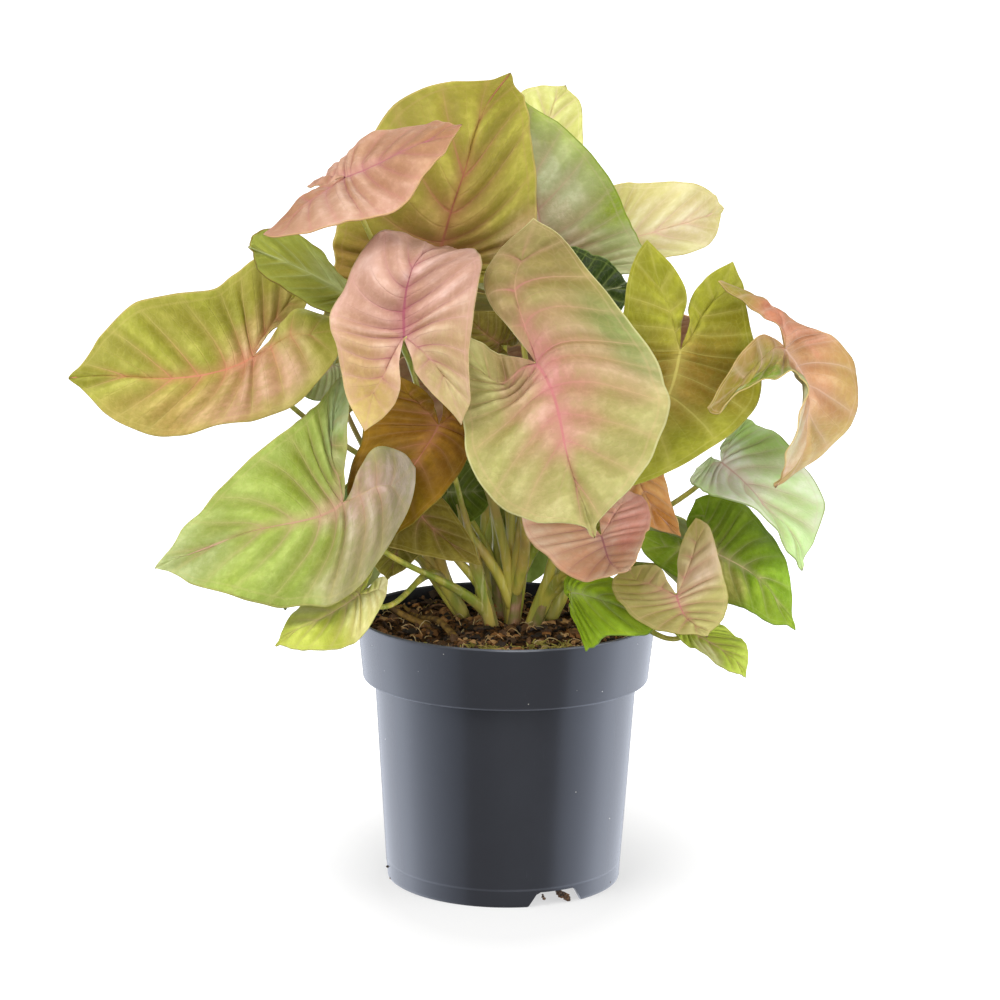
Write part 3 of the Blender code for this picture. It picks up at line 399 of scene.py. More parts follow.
        (0, 0.85, 0.3, "#D3F4A5", 0.9), (0.2, 0.1, 0.2, "#F6F6F6", 0.7), (-0.1, 0, 0.16, "#F6F6F6", 0.7))),
    lowRightGreen=dict(shoot=5, finish="green", joint=(81, -24, 140), tip=(112, -50, 115),
        right=(85, -44, 125), left=(99, -10, 151), shoulderRight=(96, -52, 122),
        shoulderLeft=(109, -28, 138), lobeRight=(53, -26, 146), lobeLeft=(76, 2, 154), hipLeft=(90, 0, 156),
        look=dict(base="#99B638", patch="#79991C", under="#AFCA57", vein="#E7D1A7", farVein="#BFCF75"),
        zones=((0.3, 0.2, 0.22, "#BEB565", 0.85), (0.1, 0, 0.16, "#CDB87A", 0.7),
        (-0.25, 0.6, 0.2, "#A4CF43", 0.7))),
    smallHeart=dict(shoot=2, finish="roseOlive", joint=(64, -84, 136), tip=(75, -100, 124),
        right=(44, -86, 132), left=(83, -78, 138), shoulderRight=(56, -96, 126), shoulderLeft=(82, -92, 131),
        lobeRight=(46, -72, 143), lobeLeft=(72, -60, 159), hipRight=(40, -80, 137), hipLeft=(80, -70, 148),
        notchRight=(58, -74, 144), notchLeft=(65, -70, 148), look=dict(base="#B9B26C", patch="#A79F61",
        under="#CDC994"), zones=((0, 0, 0.2, "#C6AE86", 0.7), (-0.3, -0.1, 0.22, "#C4A78E", 0.9),
        (-0.26, -0.36, 0.2, "#8E8040", 0.9), (0.3, -0.2, 0.2, "#B2AC56", 0.7))),
    lowCurl=dict(shoot=2, finish="lime", joint=(70, -66, 118), tip=(91, -82, 104), right=(74, -78, 113),
        left=(88, -66, 116), shoulderRight=(83, -84, 108), shoulderLeft=(92, -74, 113),
        lobeRight=(65, -66, 118), lobeLeft=(75, -58, 120), look=dict(base="#C3D654", patch="#ACC241",
        under="#DAEC8D"), zones=((0.3, 0.3, 0.2, "#F6F6C4", 0.8),)),
    lowFrontGreen=dict(shoot=2, finish="green", joint=(25, -52, 129), tip=(61, -80, 125),
        right=(38, -74, 117), left=(36, -46, 135), shoulderRight=(51, -84, 121), shoulderLeft=(51, -62, 131),
        lobeRight=(29, -70, 114), lobeLeft=(23, -38, 130), look=dict(base="#A6C72F", patch="#8CAD1E",
        under="#BCD750")),
    darkCentre=dict(shoot=4, finish="green", joint=(-24, 4, 157), tip=(-4, -4, 160), right=(-16, -4, 146),
        left=(-17, 8, 169), lobeRight=(-30, 6, 149), lobeLeft=(-30, 12, 164), look=dict(base="#5E6E1C",
        patch="#4C5C10")),
    darkBetween=dict(shoot=4, finish="olive", joint=(-4, -14, 220), tip=(-18, -20, 233),
        right=(-2, -12, 232), left=(-19, -20, 218), lobeRight=(7, -6, 224), lobeLeft=(-4, -12, 209),
        look=dict(base="#8A7A34", patch="#766820")),
)
# leaves of the sides and back, by one rule: bearing of the joint from the front towards the right,
# reach from the middle, height, length, dip of the tip and roll to its right, then finish, shoot and via
rearLeaves = dict(
    rearRightLow=(128, 66, 146, 58, 44, 6, "lime", 5),
    rearRightHigh=(138, 90, 212, 68, 34, -12, "rose", 6, (13, 39, 170)),
    rearLow=(177, 74, 147, 62, 54, 8, "green", 6),
    rearMiddle=(164, 80, 184, 72, 48, -8, "olive", 1),
    rearTop=(182, 88, 226, 74, 26, 6, "roseOlive", 4, (-1, 36, 178)),
    rearLeftHigh=(214, 72, 222, 76, 36, 10, "olive", 6, (-9, 53, 173)),
    rearLeftMiddle=(194, 84, 190, 70, 50, -6, "rose", 6, (-11, 48, 162)),
    rearLeftLow=(217, 74, 154, 64, 54, -10, "lime", 6),
    sideLeftLow=(258, 68, 148, 50, 52, -8, "green", 3),
    sideRightHigh=(104, 56, 206, 60, 32, 10, "sage", 1, (28, 7, 163)),
)
# where their landmarks lie: across, along and over the plane of the blade, as shares of its length
outwardMarks = dict(
    joint=(0.0, 0.0, 0.0), tip=(0.0, 1.0, -0.16), right=(0.44, 0.18, 0.05), left=(-0.44, 0.18, 0.03),
    shoulderRight=(0.31, 0.60, -0.02), shoulderLeft=(-0.31, 0.60, -0.05), lobeRight=(0.27, -0.34, -0.06),
    lobeLeft=(-0.27, -0.36, -0.03), rib=(0.0, 0.5, -0.01),
)


def outwardLeaf(bearing, reach, height, length, dip, roll, finish, shoot, via=None):
    turn, fall, tilt = math.radians(bearing), math.radians(dip), math.radians(roll)
    outward = np.array((math.sin(turn), -math.cos(turn), 0.0))
    level = np.array((math.cos(turn), math.sin(turn), 0.0))
    up = np.array((0.0, 0.0, 1.0))
    forward = math.cos(fall) * outward - math.sin(fall) * up
    above = math.sin(fall) * outward + math.cos(fall) * up
    right = -math.cos(tilt) * level - math.sin(tilt) * above
    normal = np.cross(right, forward)
    leaf = dict(shoot=shoot, finish=finish, via=via)
    joint = reach * outward + height * up
    for mark, (across, along, lift) in outwardMarks.items():
        leaf[mark] = joint + length * (across * right + along * forward + lift * normal)
    return leaf


for name, rule in rearLeaves.items():
    leaves[name] = outwardLeaf(*rule)


# finishes of the living leaves, as sRGB. vein is its colour by the rib and farVein by the margin,
# patch the cloudy mottling, glow the light that comes through, edge the thin line along the margin:
# partly the margin's own colour and partly a painted highlight where the edge catches the light
leafLooks = dict(
    olive=dict(base="#AFAC4E", patch="#9A9A38", vein="#C98F78", farVein="#D2C273", edge="#C9B56A",
               under="#BDB878", glow="#D6D44A"),
    rose=dict(base="#DFAE9E", patch="#CF9C82", vein="#B9707C", farVein="#D08E86", edge="#D3B079",
              under="#D8B496", glow="#F0B890"),
    roseOlive=dict(base="#C3B576", patch="#AFA660", vein="#CB7F80", farVein="#D8B78C", edge="#A9A24C",
                   under="#CBC08A", glow="#DAD070"),
    green=dict(base="#6F8E2A", patch="#54741A", vein="#B5B884", farVein="#94A850", edge="#86A040",
               under="#8FA04C", glow="#A6C81E"),
    lime=dict(base="#B1BE62", patch="#9FAE48", vein="#CB9E88", farVein="#CBC07E", edge="#C6C272",
              under="#BCC684", glow="#CFE252"),
    grey=dict(base="#A3A374", patch="#8C955C", vein="#C89C8C", farVein="#C3B08C", edge="#7C9024",
              under="#B4BC92", glow="#BFCB60"),
    sage=dict(base="#BFC094", patch="#A3B26E", vein="#D6AFA6", farVein="#DAD3B8", edge="#9DB060",
              under="#CCD1B0", glow="#C4D878"),
    pale=dict(base="#E2D89A", patch="#D6CC7E", vein="#EBC2B4", farVein="#EFE0BA", edge="#DDD080",
              under="#E0DBA2", glow="#F2EE8C"),
    amber=dict(base="#A5793C", patch="#86661E", vein="#C58466", farVein="#B49050", edge="#8C8430",
               under="#B59458", glow="#E0A23C"),
    orange=dict(base="#E2AE8A", patch="#D69C70", vein="#E3BBA4", farVein="#EACDB0", edge="#D6BE7E",
                under="#E3CFAA", glow="#F6BC78"),
)
# the lines drawn on a blade: where each starts and ends, and its strength there. Those of the side veins are
# shares of the step between two veins, and the others shares of the way from rib to margin
leafLines = dict(
    vein=(0.012, 0.065, 1.0, 0.0),
    fineVein=(0.006, 0.040, 1.0, 0.0),
    halo=(0.03, 0.34, 1.0, 0.0),
    rib=(0.010, 0.030, 1.0, 0.0),
    ribHalo=(0.015, 0.22, 1.0, 0.0),
    collector=(0.004, 0.016, 1.0, 0.0),
    margin=(0.978, 0.990, 0.0, 1.0),
    inner=(0.86, 0.925, 1.0, 0.0),
)
# how much each layer of the skin shows. Noise scales are per mm: clouds of colour about 20 mm wide, freckles
# of 3 mm, then the 2.5 mm net of the finest veins
leafSkin = dict(
    cloud=0.05, fleck=0.30, net=0.40, netWarp=0.5, netBend=0.06, collectorAt=0.915,
    # the first three here: tint and share of the painted shade in the hollows by the veins, and share of the
    # painted highlight on what is raised between them
    paintedShadeTint="#C8B695", paintedShadeShare=0.55, paintedHighlightShare=0.30, fleckShare=0.30, brightShare=0.30,
    netShare=0.10, ribHalo=0.30, halo=0.20, fineVein=0.16, collector=0.22, vein=0.66, rib=0.85, margin=0.75,
    underTone=0.8, ior=1.42, rough=(0.36, 0.52), underRough=0.62, gloss=0.2, underGloss=0.08, through=0.22,
)


def bladeLines(tree):  # strengths of the ribs, side veins and margin from the blade's own vein map
    row, side, _ = addNode(tree, "SeparateXYZ", {0: addNode(tree, "UVMap", uv_map="veinMap")}).node.outputs
    half = addNode(tree, "Math", {0: side, 1: 0.5}, operation="SUBTRACT")
    half = addNode(tree, "Math", {0: half}, operation="ABSOLUTE")
    outward = addNode(tree, "Math", {0: half, 1: 2.0}, operation="MULTIPLY")
    fromVein = addNode(tree, "Math", {0: row, 1: 0.5}, operation="PINGPONG")
    fromFine = addNode(tree, "Math", {0: row, 1: 0.5}, operation="ADD")
    fromFine = addNode(tree, "Math", {0: fromFine, 1: 0.5}, operation="PINGPONG")
    widening = addNode(tree, "Math", {0: outward, 1: 1.3, 2: 0.9}, operation="MULTIPLY_ADD")
    fromVein = addNode(tree, "Math", {0: fromVein, 1: widening}, operation="MULTIPLY")
    fromFine = addNode(tree, "Math", {0: fromFine, 1: widening}, operation="MULTIPLY")
    fromCollector = addNode(tree, "Math", {0: outward, 1: leafSkin["collectorAt"]}, operation="SUBTRACT")
    fromCollector = addNode(tree, "Math", {0: fromCollector}, operation="ABSOLUTE")
    read = dict(vein=fromVein, fineVein=fromFine, halo=fromVein, collector=fromCollector)
    lines = dict(outward=outward, flat=addNode(tree, "UVMap", uv_map="flatMap"))
    for name, (low, high, first, last) in leafLines.items():
        reach = {0: read.get(name, outward), 1: low, 2: high, 3: first, 4: last}
        lines[name] = addNode(tree, "MapRange", reach, interpolation_type="SMOOTHSTEP")
    fromLobe = addNode(tree, "Math", {0: row, 1: float(leafPattern["lobeRow"])}, operation="SUBTRACT")
    fromLobe = addNode(tree, "Math", {0: fromLobe}, operation="ABSOLUTE")
    # ribs thin out in the lobes, and side veins grow fainter on their way out
    lines["ribPower"] = addNode(tree, "MapRange", {0: fromLobe, 1: 0.6, 2: 4.3, 3: 0.08})
    for name in ("rib", "ribHalo"):
        lines[name] = addNode(tree, "Math", {0: lines[name], 1: lines["ribPower"]}, operation="MULTIPLY")
    power = addNode(tree, "Attribute", result="Fac", attribute_name="veinPower")
    near = addNode(tree, "MapRange", {0: outward, 1: 0.25, 2: 0.95, 3: 1.0, 4: 0.45})
    for name in ("vein", "fineVein"):
        for share in (lines["inner"], power, near):
            lines[name] = addNode(tree, "Math", {0: lines[name], 1: share}, operation="MULTIPLY")
    return lines


def leafFace(name, look, under):
    material, tree = startMaterial(name + ("MattUnderleaf" if under else "WaxyUpperleaf"))
    skin, lines, tints = leafSkin, bladeLines(tree), {part: linear(colour) for part, colour in look.items()}
    base, patch = (tints["under"], tints["under"]) if under else (tints["base"], tints["patch"])
    shift = random.Random(name + "shift").uniform(0.0, 400.0)
    moved = addNode(tree, "Mapping", {0: lines["flat"], 1: (shift, shift / 2, 0.0)})
    cloud = addNode(tree, "TexNoise", {0: moved, 2: skin["cloud"], 3: 4.0, 4: 0.6})
    fleck = addNode(tree, "TexNoise", {0: moved, 2: skin["fleck"], 3: 5.0, 4: 0.6})
    warp = addNode(tree, "TexNoise", {0: moved, 2: skin["netWarp"]}, "Color")
    bent = addNode(tree, "Mix", {0: skin["netBend"], 4: moved, 5: warp}, 1, data_type="VECTOR")
    net = addNode(tree, "TexVoronoi", {0: bent, 2: skin["net"]}, feature="DISTANCE_TO_EDGE")
    net = addNode(tree, "MapRange", {0: net, 1: 0.0, 2: 0.12, 3: 1.0, 4: 0.0})
    tone = addNode(tree, "VertexColor", layer_name="tone")
    paintedShade = addNode(tree, "Attribute", result="Fac", attribute_name="paintedShade")
    outer = addNode(tree, "MapRange", {0: lines["outward"], 1: 0.1, 2: 0.75})
    veinTint = addNode(tree, "Mix", {0: outer, 6: tints["vein"], 7: tints["farVein"]}, 2, data_type="RGBA")
    ribTint = painted(tree, tints["farVein"], ((lines["ribPower"], 0.0, 1.0, 1.0, tints["vein"]),))
    # the margin line is partly the margin's own colour and partly a painted highlight
    drawn = dict(ribHalo=tints["vein"], halo=veinTint, fineVein=veinTint, collector=tints["farVein"],
                 vein=veinTint, rib=ribTint, margin=tints["edge"])
    colour = painted(tree, base, (
        (cloud, 0.38, 0.62, 1.0, patch),
        (tone.node.outputs["Alpha"], 0.0, 1.0, skin["underTone"] if under else 1.0, tone),
        # painted shade: the hollows are painted darker, and what is raised between them gets a painted
        # highlight
        (paintedShade, 0.0, 1.0, skin["paintedShadeShare"], linear(skin["paintedShadeTint"]), "MULTIPLY"),
        (paintedShade, 0.22, 0.0, skin["paintedHighlightShare"], white, "SOFT_LIGHT"),
        (fleck, 0.46, 0.68, skin["fleckShare"], patch),
        (fleck, 0.52, 0.34, skin["brightShare"], white, "SOFT_LIGHT"),
        (net, 0.0, 1.0, skin["netShare"], tints["farVein"]),
        *((lines[part], 0.0, 1.0, skin[part], tint) for part, tint in drawn.items()),
    ))
    # veins are sunk above and stand proud below
    relief, way = 1.0, 1.0 if under else -1.0
    heights = ((lines["vein"], way * 0.6), (lines["fineVein"], way * 0.5), (net, way * 0.14), (fleck, 1.2))
    for line, height in heights:
        relief = addNode(tree, "Math", {0: line, 1: height, 2: relief}, operation="MULTIPLY_ADD")
    bump = addNode(tree, "Bump", {"Strength": 0.8, "Distance": 0.5 * mm, "Height": relief})
    low, high = (skin["underRough"],) * 2 if under else skin["rough"]
    rough = addNode(tree, "MapRange", {0: fleck, 1: 0.3, 2: 0.7, 3: low, 4: high})
    # waxy skin: a soft broad sheen over the colour
    surface = addNode(tree, "BsdfPrincipled", {
        "Base Color": colour, "Roughness": rough, "IOR": skin["ior"],
        "Specular IOR Level": skin["underGloss"] if under else skin["gloss"], "Normal": bump,
    })
    # light that comes through the blade is more yellow than what it throws back
    glow = addNode(tree, "Mix", {0: 0.5, 6: colour, 7: tints["glow"]}, 2, data_type="RGBA")
    through = addNode(tree, "BsdfTranslucent", {"Color": glow})
    endMaterial(tree, addNode(tree, "MixShader", {0: skin["through"], 1: surface, 2: through}))
    return material


def sheetThrough(leaf):  # a thin springy plate pinned at the leaf's landmarks, in mm
    names = [name for name in leafMarks if name in leaf]
    flat = np.array([leafMarks[name] for name in names])
    space = np.array([leaf[name] for name in names], float)
    count = len(names)

    def bending(apart):
        return apart**2 * np.log(apart + 1e-9)

    system = np.zeros((count + 3, count + 3))
    system[:count, :count] = bending(np.linalg.norm(flat[:, None] - flat[None], axis=2))
    system[:count, count:] = np.c_[np.ones(count), flat]
    system[count:, :count] = system[:count, count:].T
    weights = np.linalg.solve(system, np.r_[space, np.zeros((3, 3))])

    def at(points):
        points = np.atleast_2d(points)
        rows = bending(np.linalg.norm(points[:, None] - flat[None], axis=2))
        return np.c_[rows, np.ones(len(points)), points] @ weights

    return at


def upperNormals(sheet, points):
    step = 0.01
    right = sheet(points + (step, 0.0)) - sheet(points - (step, 0.0))
    forward = sheet(points + (0.0, step)) - sheet(points - (0.0, step))
    normals = np.cross(right, forward)
    return normals / np.linalg.norm(normals, axis=1)[:, None]


def throughRows(rows, t):  # smooth curve through the pattern's rows
    rows = np.array(rows, float)
    k = np.clip(np.floor(t).astype(int), 0, len(rows) - 2)
    u = (t - k)[:, None]
    p0, p1 = rows[np.maximum(k - 1, 0)], rows[k]
    p2, p3 = rows[k + 1], rows[np.minimum(k + 2, len(rows) - 1)]
    bent = (2 * p0 - 5 * p1 + 4 * p2 - p3) * u**2 + (3 * p1 - p0 - 3 * p2 + p3) * u**3
    return 0.5 * (2 * p1 + (p2 - p0) * u + bent)


def alongRows(rows, t):  # straight runs between the rows
    rows = np.array(rows, float)
    k = np.clip(np.floor(t).astype(int), 0, len(rows) - 2)
    u = (t - k)[:, None]
    return rows[k] * (1 - u) + rows[k + 1] * u


def unevenAt(*spots):  # uneven numbers from -1 to 1 that run smoothly from spot to spot
    return np.array([noise.noise(spot) for spot in zip(*spots)])


def toneOf(leaf, flat, length):  # the leaf's patches of other colour, each with a cloudy outline
    tone = np.zeros((len(flat), 4))
    cloud = 11.0 / length  # clouds of 11 mm
    for across, along, reach, colour, strength in leaf.get("zones", ()):
        paint = np.array(linear(colour)[:3])
        apart = np.hypot(flat[:, 0] - across, flat[:, 1] - along) / reach
        blur = unevenAt(flat[:, 0] / cloud, flat[:, 1] / cloud, [across * 9] * len(flat))
        cover = np.clip(strength * np.clip(1.5 - apart - 0.45 * blur, 0, 1) ** 1.3, 0, strength)[:, None]
        tone[:, :3] = np.where(tone[:, 3:] > 0, tone[:, :3] * (1 - cover) + paint * cover, paint)
        tone[:, 3:] = 1 - (1 - tone[:, 3:]) * (1 - cover)
    return tone


def hill(value, middle, wide):  # 1 at the middle, and less to either side
    return np.exp(-(((value - middle) / wide) ** 2))


def ramp(value, low, high):  # 0 at low and 1 at high
    return np.clip((value - low) / (high - low), 0, 1)


boxGap = 0.3
lowCorner, highCorner = np.array(cadBox[0]) / mm + boxGap, np.array(cadBox[1]) / mm - boxGap
lowCorner[2] = 1.0  # the floor stays clear


def flatBlade(habit, t, out, side, phase):  # half a blade's points on the pattern, and their fade
    lastRow, lobe = len(leafPattern["ribs"]) - 1, leafPattern["lobeRow"]
    rib, margin = alongRows(leafPattern["ribs"], t), throughRows(leafPattern["margins"], t)
    fade = ramp(t, 0, 1) * ramp(t, lastRow, lastRow - 1)
    uneven = unevenAt(t * 1.3, [phase + side] * len(t), [2.0] * len(t))
    margin = rib + (margin - rib) * (1 + habit["nibble"] * fade * uneven)[:, None]
    drip = ramp(t, 12.3, 13.2) * ramp(t, lastRow, lastRow - 0.8) ** 0.5
    full = np.clip(1 - np.abs(t - 11.6) / 2.2, 0, 1)
    margin[:, 0] *= 1 + habit["full"] * full - habit["drip"] * drip
    margin += (habit["cusp"] * np.exp(-np.abs(t - lobe) * 2.6))[:, None] * (0.27, -0.96)
    flat = rib + out[:, None] * (margin - rib)
    hip = leafPattern["hipRow"]
    sag = leafPattern["bow"] * 4 * out * (1 - out) * ramp(t, hip, hip + 2) * ramp(t, lastRow, lastRow - 3)
    flat[:, 1] -= sag * np.abs(margin[:, 0])
    flat[:, 0] *= side
    return flat, fade


def makeBlade(name, leaf):
    habit = dict(leafHabit, **leaf)
    sheet = sheetThrough(leaf)
    length = float(np.linalg.norm(np.subtract(leaf["tip"], leaf["joint"])))
    size = max(length, float(np.linalg.norm(np.subtract(leaf["right"], leaf["left"])))) / 100
    phase = random.Random(name).uniform(0.0, math.tau)
    lastRow, lobe, hip = len(leafPattern["ribs"]) - 1, leafPattern["lobeRow"], leafPattern["hipRow"]
    columns, across = leafPattern["columns"], leafPattern["across"]
    steps = [column / columns for column in range(lastRow * columns + 1)]
    draw = random.Random(name + "veins")
    powers = np.array([draw.uniform(*leafPattern["veinPower"]) for row in range(lastRow + 2)])
    powers[hip] = 1.0
    powers[lobe - 1 : lobe + 2] *= leafPattern["lobePowers"]
    work = bmesh.new()
    veinMap = work.loops.layers.uv.new("veinMap")
    flatMap = work.loops.layers.uv.new("flatMap")
    toneMap = work.verts.layers.float_color.new("tone")
    powerMap = work.verts.layers.float.new("veinPower")
    paintedShadeMap = work.verts.layers.float.new("paintedShade")
    for side in (1.0, -1.0):
        grid = bmesh.ops.create_grid(work, x_segments=len(steps) - 1, y_segments=len(across) - 1, size=0.5)
        corners = grid["verts"]
        t = np.array([steps[round((v.co.x + 0.5) * (len(steps) - 1))] for v in corners], float)
        out = np.array([across[round((v.co.y + 0.5) * (len(across) - 1))] for v in corners])
        same = np.ones(len(t))
        flat, fade = flatBlade(habit, t, out, side, phase)
        x, y = (flat * length).T
        normals = upperNormals(sheet, flat)
        lift = habit["wave"] * length * out**2 * fade * np.sin(habit["waveStep"] * t + phase + side)
        # side veins stray from their even places; pillows lie between them, then broad and small unevenness
        stray = unevenAt(t * 0.8, same * phase * 2, same * side * 3)
        vein = t + leafPattern["stray"] * stray * np.clip(np.abs(t - hip), 0, 1) * fade
        nearVein = np.abs(vein - np.round(vein))
        power = powers[np.clip(np.round(vein), 0, lastRow).astype(int)]
        inside = ramp(out, 0, 0.18) * ramp(out, 1, 0.65)
        pillow = 0.55 * (0.5 - 0.5 * np.cos(math.tau * nearVein)) + 0.45 * (1 - (1 - 2 * nearVein) ** 2)
        calm = 1 - 0.75 * hill(t, lobe, 1.1)
        lift += habit["quilt"] * size * pillow * inside * fade * (0.35 + 0.8 * power) * calm
        lift -= habit["crease"] * size * hill(nearVein, 0.5, 0.08) * inside * fade
        lift -= habit["groove"] * size * hill(out, 0, 0.06) * ramp(t, 0, 1)
        broad = unevenAt(x / 17, y / 17, same * phase * 3)
        small = unevenAt(x / 6, y / 6, same * phase * 5)
        lift += size * (habit["uneven"] * broad + habit["small"] * small) * ramp(out, 0, 0.1)
        lift += habit["frill"] * size * unevenAt(t * 1.6, same * phase, same * side) * out**5 * fade
        place = sheet(flat) + lift[:, None] * normals
        place = np.clip(place, lowCorner, highCorner)  # no blade grows past the solids' box
        # painted shade: the hollows beside the veins and in the broad dents are painted darker
        beside = 0.5 + 0.5 * np.cos(math.tau * (vein - 0.10))
        paintedShade = np.clip(beside * inside * calm * (0.4 + 0.9 * power) - 0.9 * broad + 0.15, 0, 1)
        maps = {}
        traits = zip(corners, place, vein, out, x, y, toneOf(leaf, flat, length), power, paintedShade)
        for vertex, point, row, share, right, forward, shade, force, depth in traits:
            vertex.co = Vector(point) * mm
            vertex[toneMap] = shade
            vertex[powerMap] = force
            vertex[paintedShadeMap] = depth
            maps[vertex] = ((row, 0.5 + side * share / 2), (right, forward))
        faces = {face for vertex in corners for face in vertex.link_faces}
        for face in faces:
            for loop in face.loops:
                loop[veinMap].uv, loop[flatMap].uv = maps[loop.vert]
        if side > 0:
            bmesh.ops.reverse_faces(work, faces=list(faces))
    bmesh.ops.remove_doubles(work, verts=work.verts, dist=0.01 * mm)
    look = dict(leafLooks[leaf["finish"]], **leaf.get("look", {}))
    blade = newObject(name + "Blade", work, [leafFace(name, look, False), leafFace(name, look, True)])
    solid = blade.modifiers.new("thickness", "SOLIDIFY")
    solid.thickness = leafPattern["thickness"] * mm
    solid.offset = 0.0
    solid.material_offset = 1
    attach(blade, "root")
    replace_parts(blade, "blade_" + cadName(name))


def cadName(name):  # leftLong -> left_long
    return "".join("_" + c.lower() if c.isupper() else c for c in name)


for name, leaf in leaves.items():
    makeBlade(name, leaf)
print("leaf blades made:", len(leaves))


# shoots, in mm: a short stem from the mix with the petioles of its leaves, each in its own winged sheath.
# low and high say where the petioles leave, as shares of the stem's stand above the mix
shootSet = dict(
    foot=2.5, sheathEnd=0.40, middle=1.4, top=0.95, arc=0.36, leaving=0.6, arriving=0.8, stand=20.0,
    low=0.25, high=0.85, taper=0.9, depth=11.7, spears=2, spearTall=(34, 62),
    spearRadii=(2.3, 2.4, 1.9, 1.4, 0.3), sheaths=2, sheathTall=(18, 34), sheathFlare=(0.1, 0.7),
    sheathWall=0.3,
)
shoots = {
    0: dict(at=(-5.5, -2.5), lean=(-0.26, -0.16), radius=2.7),
    1: dict(at=(2.5, 0.5), lean=(0.04, -0.10), radius=2.8),
    2: dict(at=(11.0, -1.0), lean=(0.42, -0.14), radius=2.7),
    3: dict(at=(-17.0, 15.0), lean=(-0.60, -0.14), radius=2.6),
    4: dict(at=(-2.0, 17.0), lean=(-0.04, 0.05), radius=2.7),
    5: dict(at=(17.0, 12.0), lean=(0.42, 0.08), radius=2.6),
    6: dict(at=(-7.0, 33.0), lean=(-0.12, 0.35), radius=2.6),
}
stemLook = dict(green="#CCC254", shade="#8C9A38", pale="#E2DCA0", blush="#C28E62", foot="#B5A25A")
sheathLook = dict(brown="#A47B55", rib="#C79F80", green="#8E9140")
# potting mix, in mm: the mound that the stems stand in, and what lies on it
soilSet = dict(edge=101.5, crown=2.5, lump=0.8, rim=60.0, wall=0.3, chips=620, crumbs=420, fibres=150,
               tufts=22, frontTufts=14, threads=22)
soilLook = dict(dark="#1E140B", brown="#6E4C2A", red="#9A6834", tan="#D8B078", straw="#E0CF9E",
                moss="#C2B45C", mossShade="#8C8436", stalk="#A8843C", stalkShade="#6E5226")
# dry stalks that lie on the mix: x, y and height over the mix at each knot
stalkWays = (
    ((-20, -22, 0.9), (-27, -6, 2.2), (-36, 14, 1.6), (-42, 26, 2.4)),
    ((-30, -2, 0.8), (-41, 2, 3.4), (-47, 10, 5.0)),
    ((6, 20, 0.8), (-8, 30, 3.0), (-24, 38, 2.0)),
)


def soilHeight(x, y):
    reach = math.hypot(x, y) / soilSet["rim"]
    mound = soilSet["edge"] + soilSet["crown"] * (1.0 - min(reach, 1.0) ** 2)
    lumps = math.sin(0.31 * x + 1.0) * math.cos(0.27 * y) + 0.6 * math.sin(0.55 * x - 0.43 * y)
    return mound + soilSet["lump"] * lumps


def unit(vector):
    return vector / np.linalg.norm(vector)


def smoothTubes(strands, sides, resolution):  # strands: (points, radii) in mm, as one mesh of round tubes
    curve = bpy.data.curves.new("strands", "CURVE")
    curve.dimensions = "3D"
    curve.bevel_depth = mm
    curve.bevel_resolution = sides
    curve.use_fill_caps = True
    curve.resolution_u = resolution
    for points, radii in strands:
        spline = curve.splines.new("BEZIER")
        spline.bezier_points.add(len(points) - 1)
        for knot, place, radius in zip(spline.bezier_points, points, radii):
            knot.co = Vector(place) * mm
            knot.radius = radius
            knot.handle_left_type = knot.handle_right_type = "AUTO"
    obj = bpy.data.objects.new("strands", curve)
    scene.collection.objects.link(obj)
    bpy.context.view_layer.update()
    mesh = bpy.data.meshes.new_from_object(obj.evaluated_get(bpy.context.evaluated_depsgraph_get()))
    bpy.data.objects.remove(obj)
    work = bmesh.new()
    work.from_mesh(mesh)
    bpy.data.meshes.remove(mesh)
    return work


def petioleWay(leaf, start, stemWay):  # points along the petiole, with its radius at each
    sheet = sheetThrough(leaf)
    joint = np.array(leaf["joint"], float)
    normal = upperNormals(sheet, np.zeros((1, 2)))[0]
    straight = unit(joint - start)
    leaving = unit(stemWay + shootSet["leaving"] * straight)
    arriving = unit(normal + shootSet["arriving"] * straight)
    end = joint - normal * 0.3
    reach = np.linalg.norm(end - start) * shootSet["arc"]
    first = start + leaving * reach
    second = end - arriving * reach
    if leaf.get("via") is not None:
        middle = (start + 3 * first + 3 * second + end) / 8
        first = first + (np.array(leaf["via"], float) - middle) * 4 / 3
        second = second + (np.array(leaf["via"], float) - middle) * 4 / 3
    points, radii = [], []
    for u in np.linspace(0, 1, 13):
        v = 1 - u
        points.append(v**3 * start + 3 * u * v**2 * first + 3 * u**2 * v * second + u**3 * end)
        sheath = np.clip((shootSet["sheathEnd"] - u) / shootSet["sheathEnd"], 0, 1) ** 0.8
        plain = shootSet["middle"] + (shootSet["top"] - shootSet["middle"]) * u
        radii.append(plain + (shootSet["foot"] - plain) * sheath + 0.25 * max(0.0, u - 0.93) / 0.07)
    return points, radii


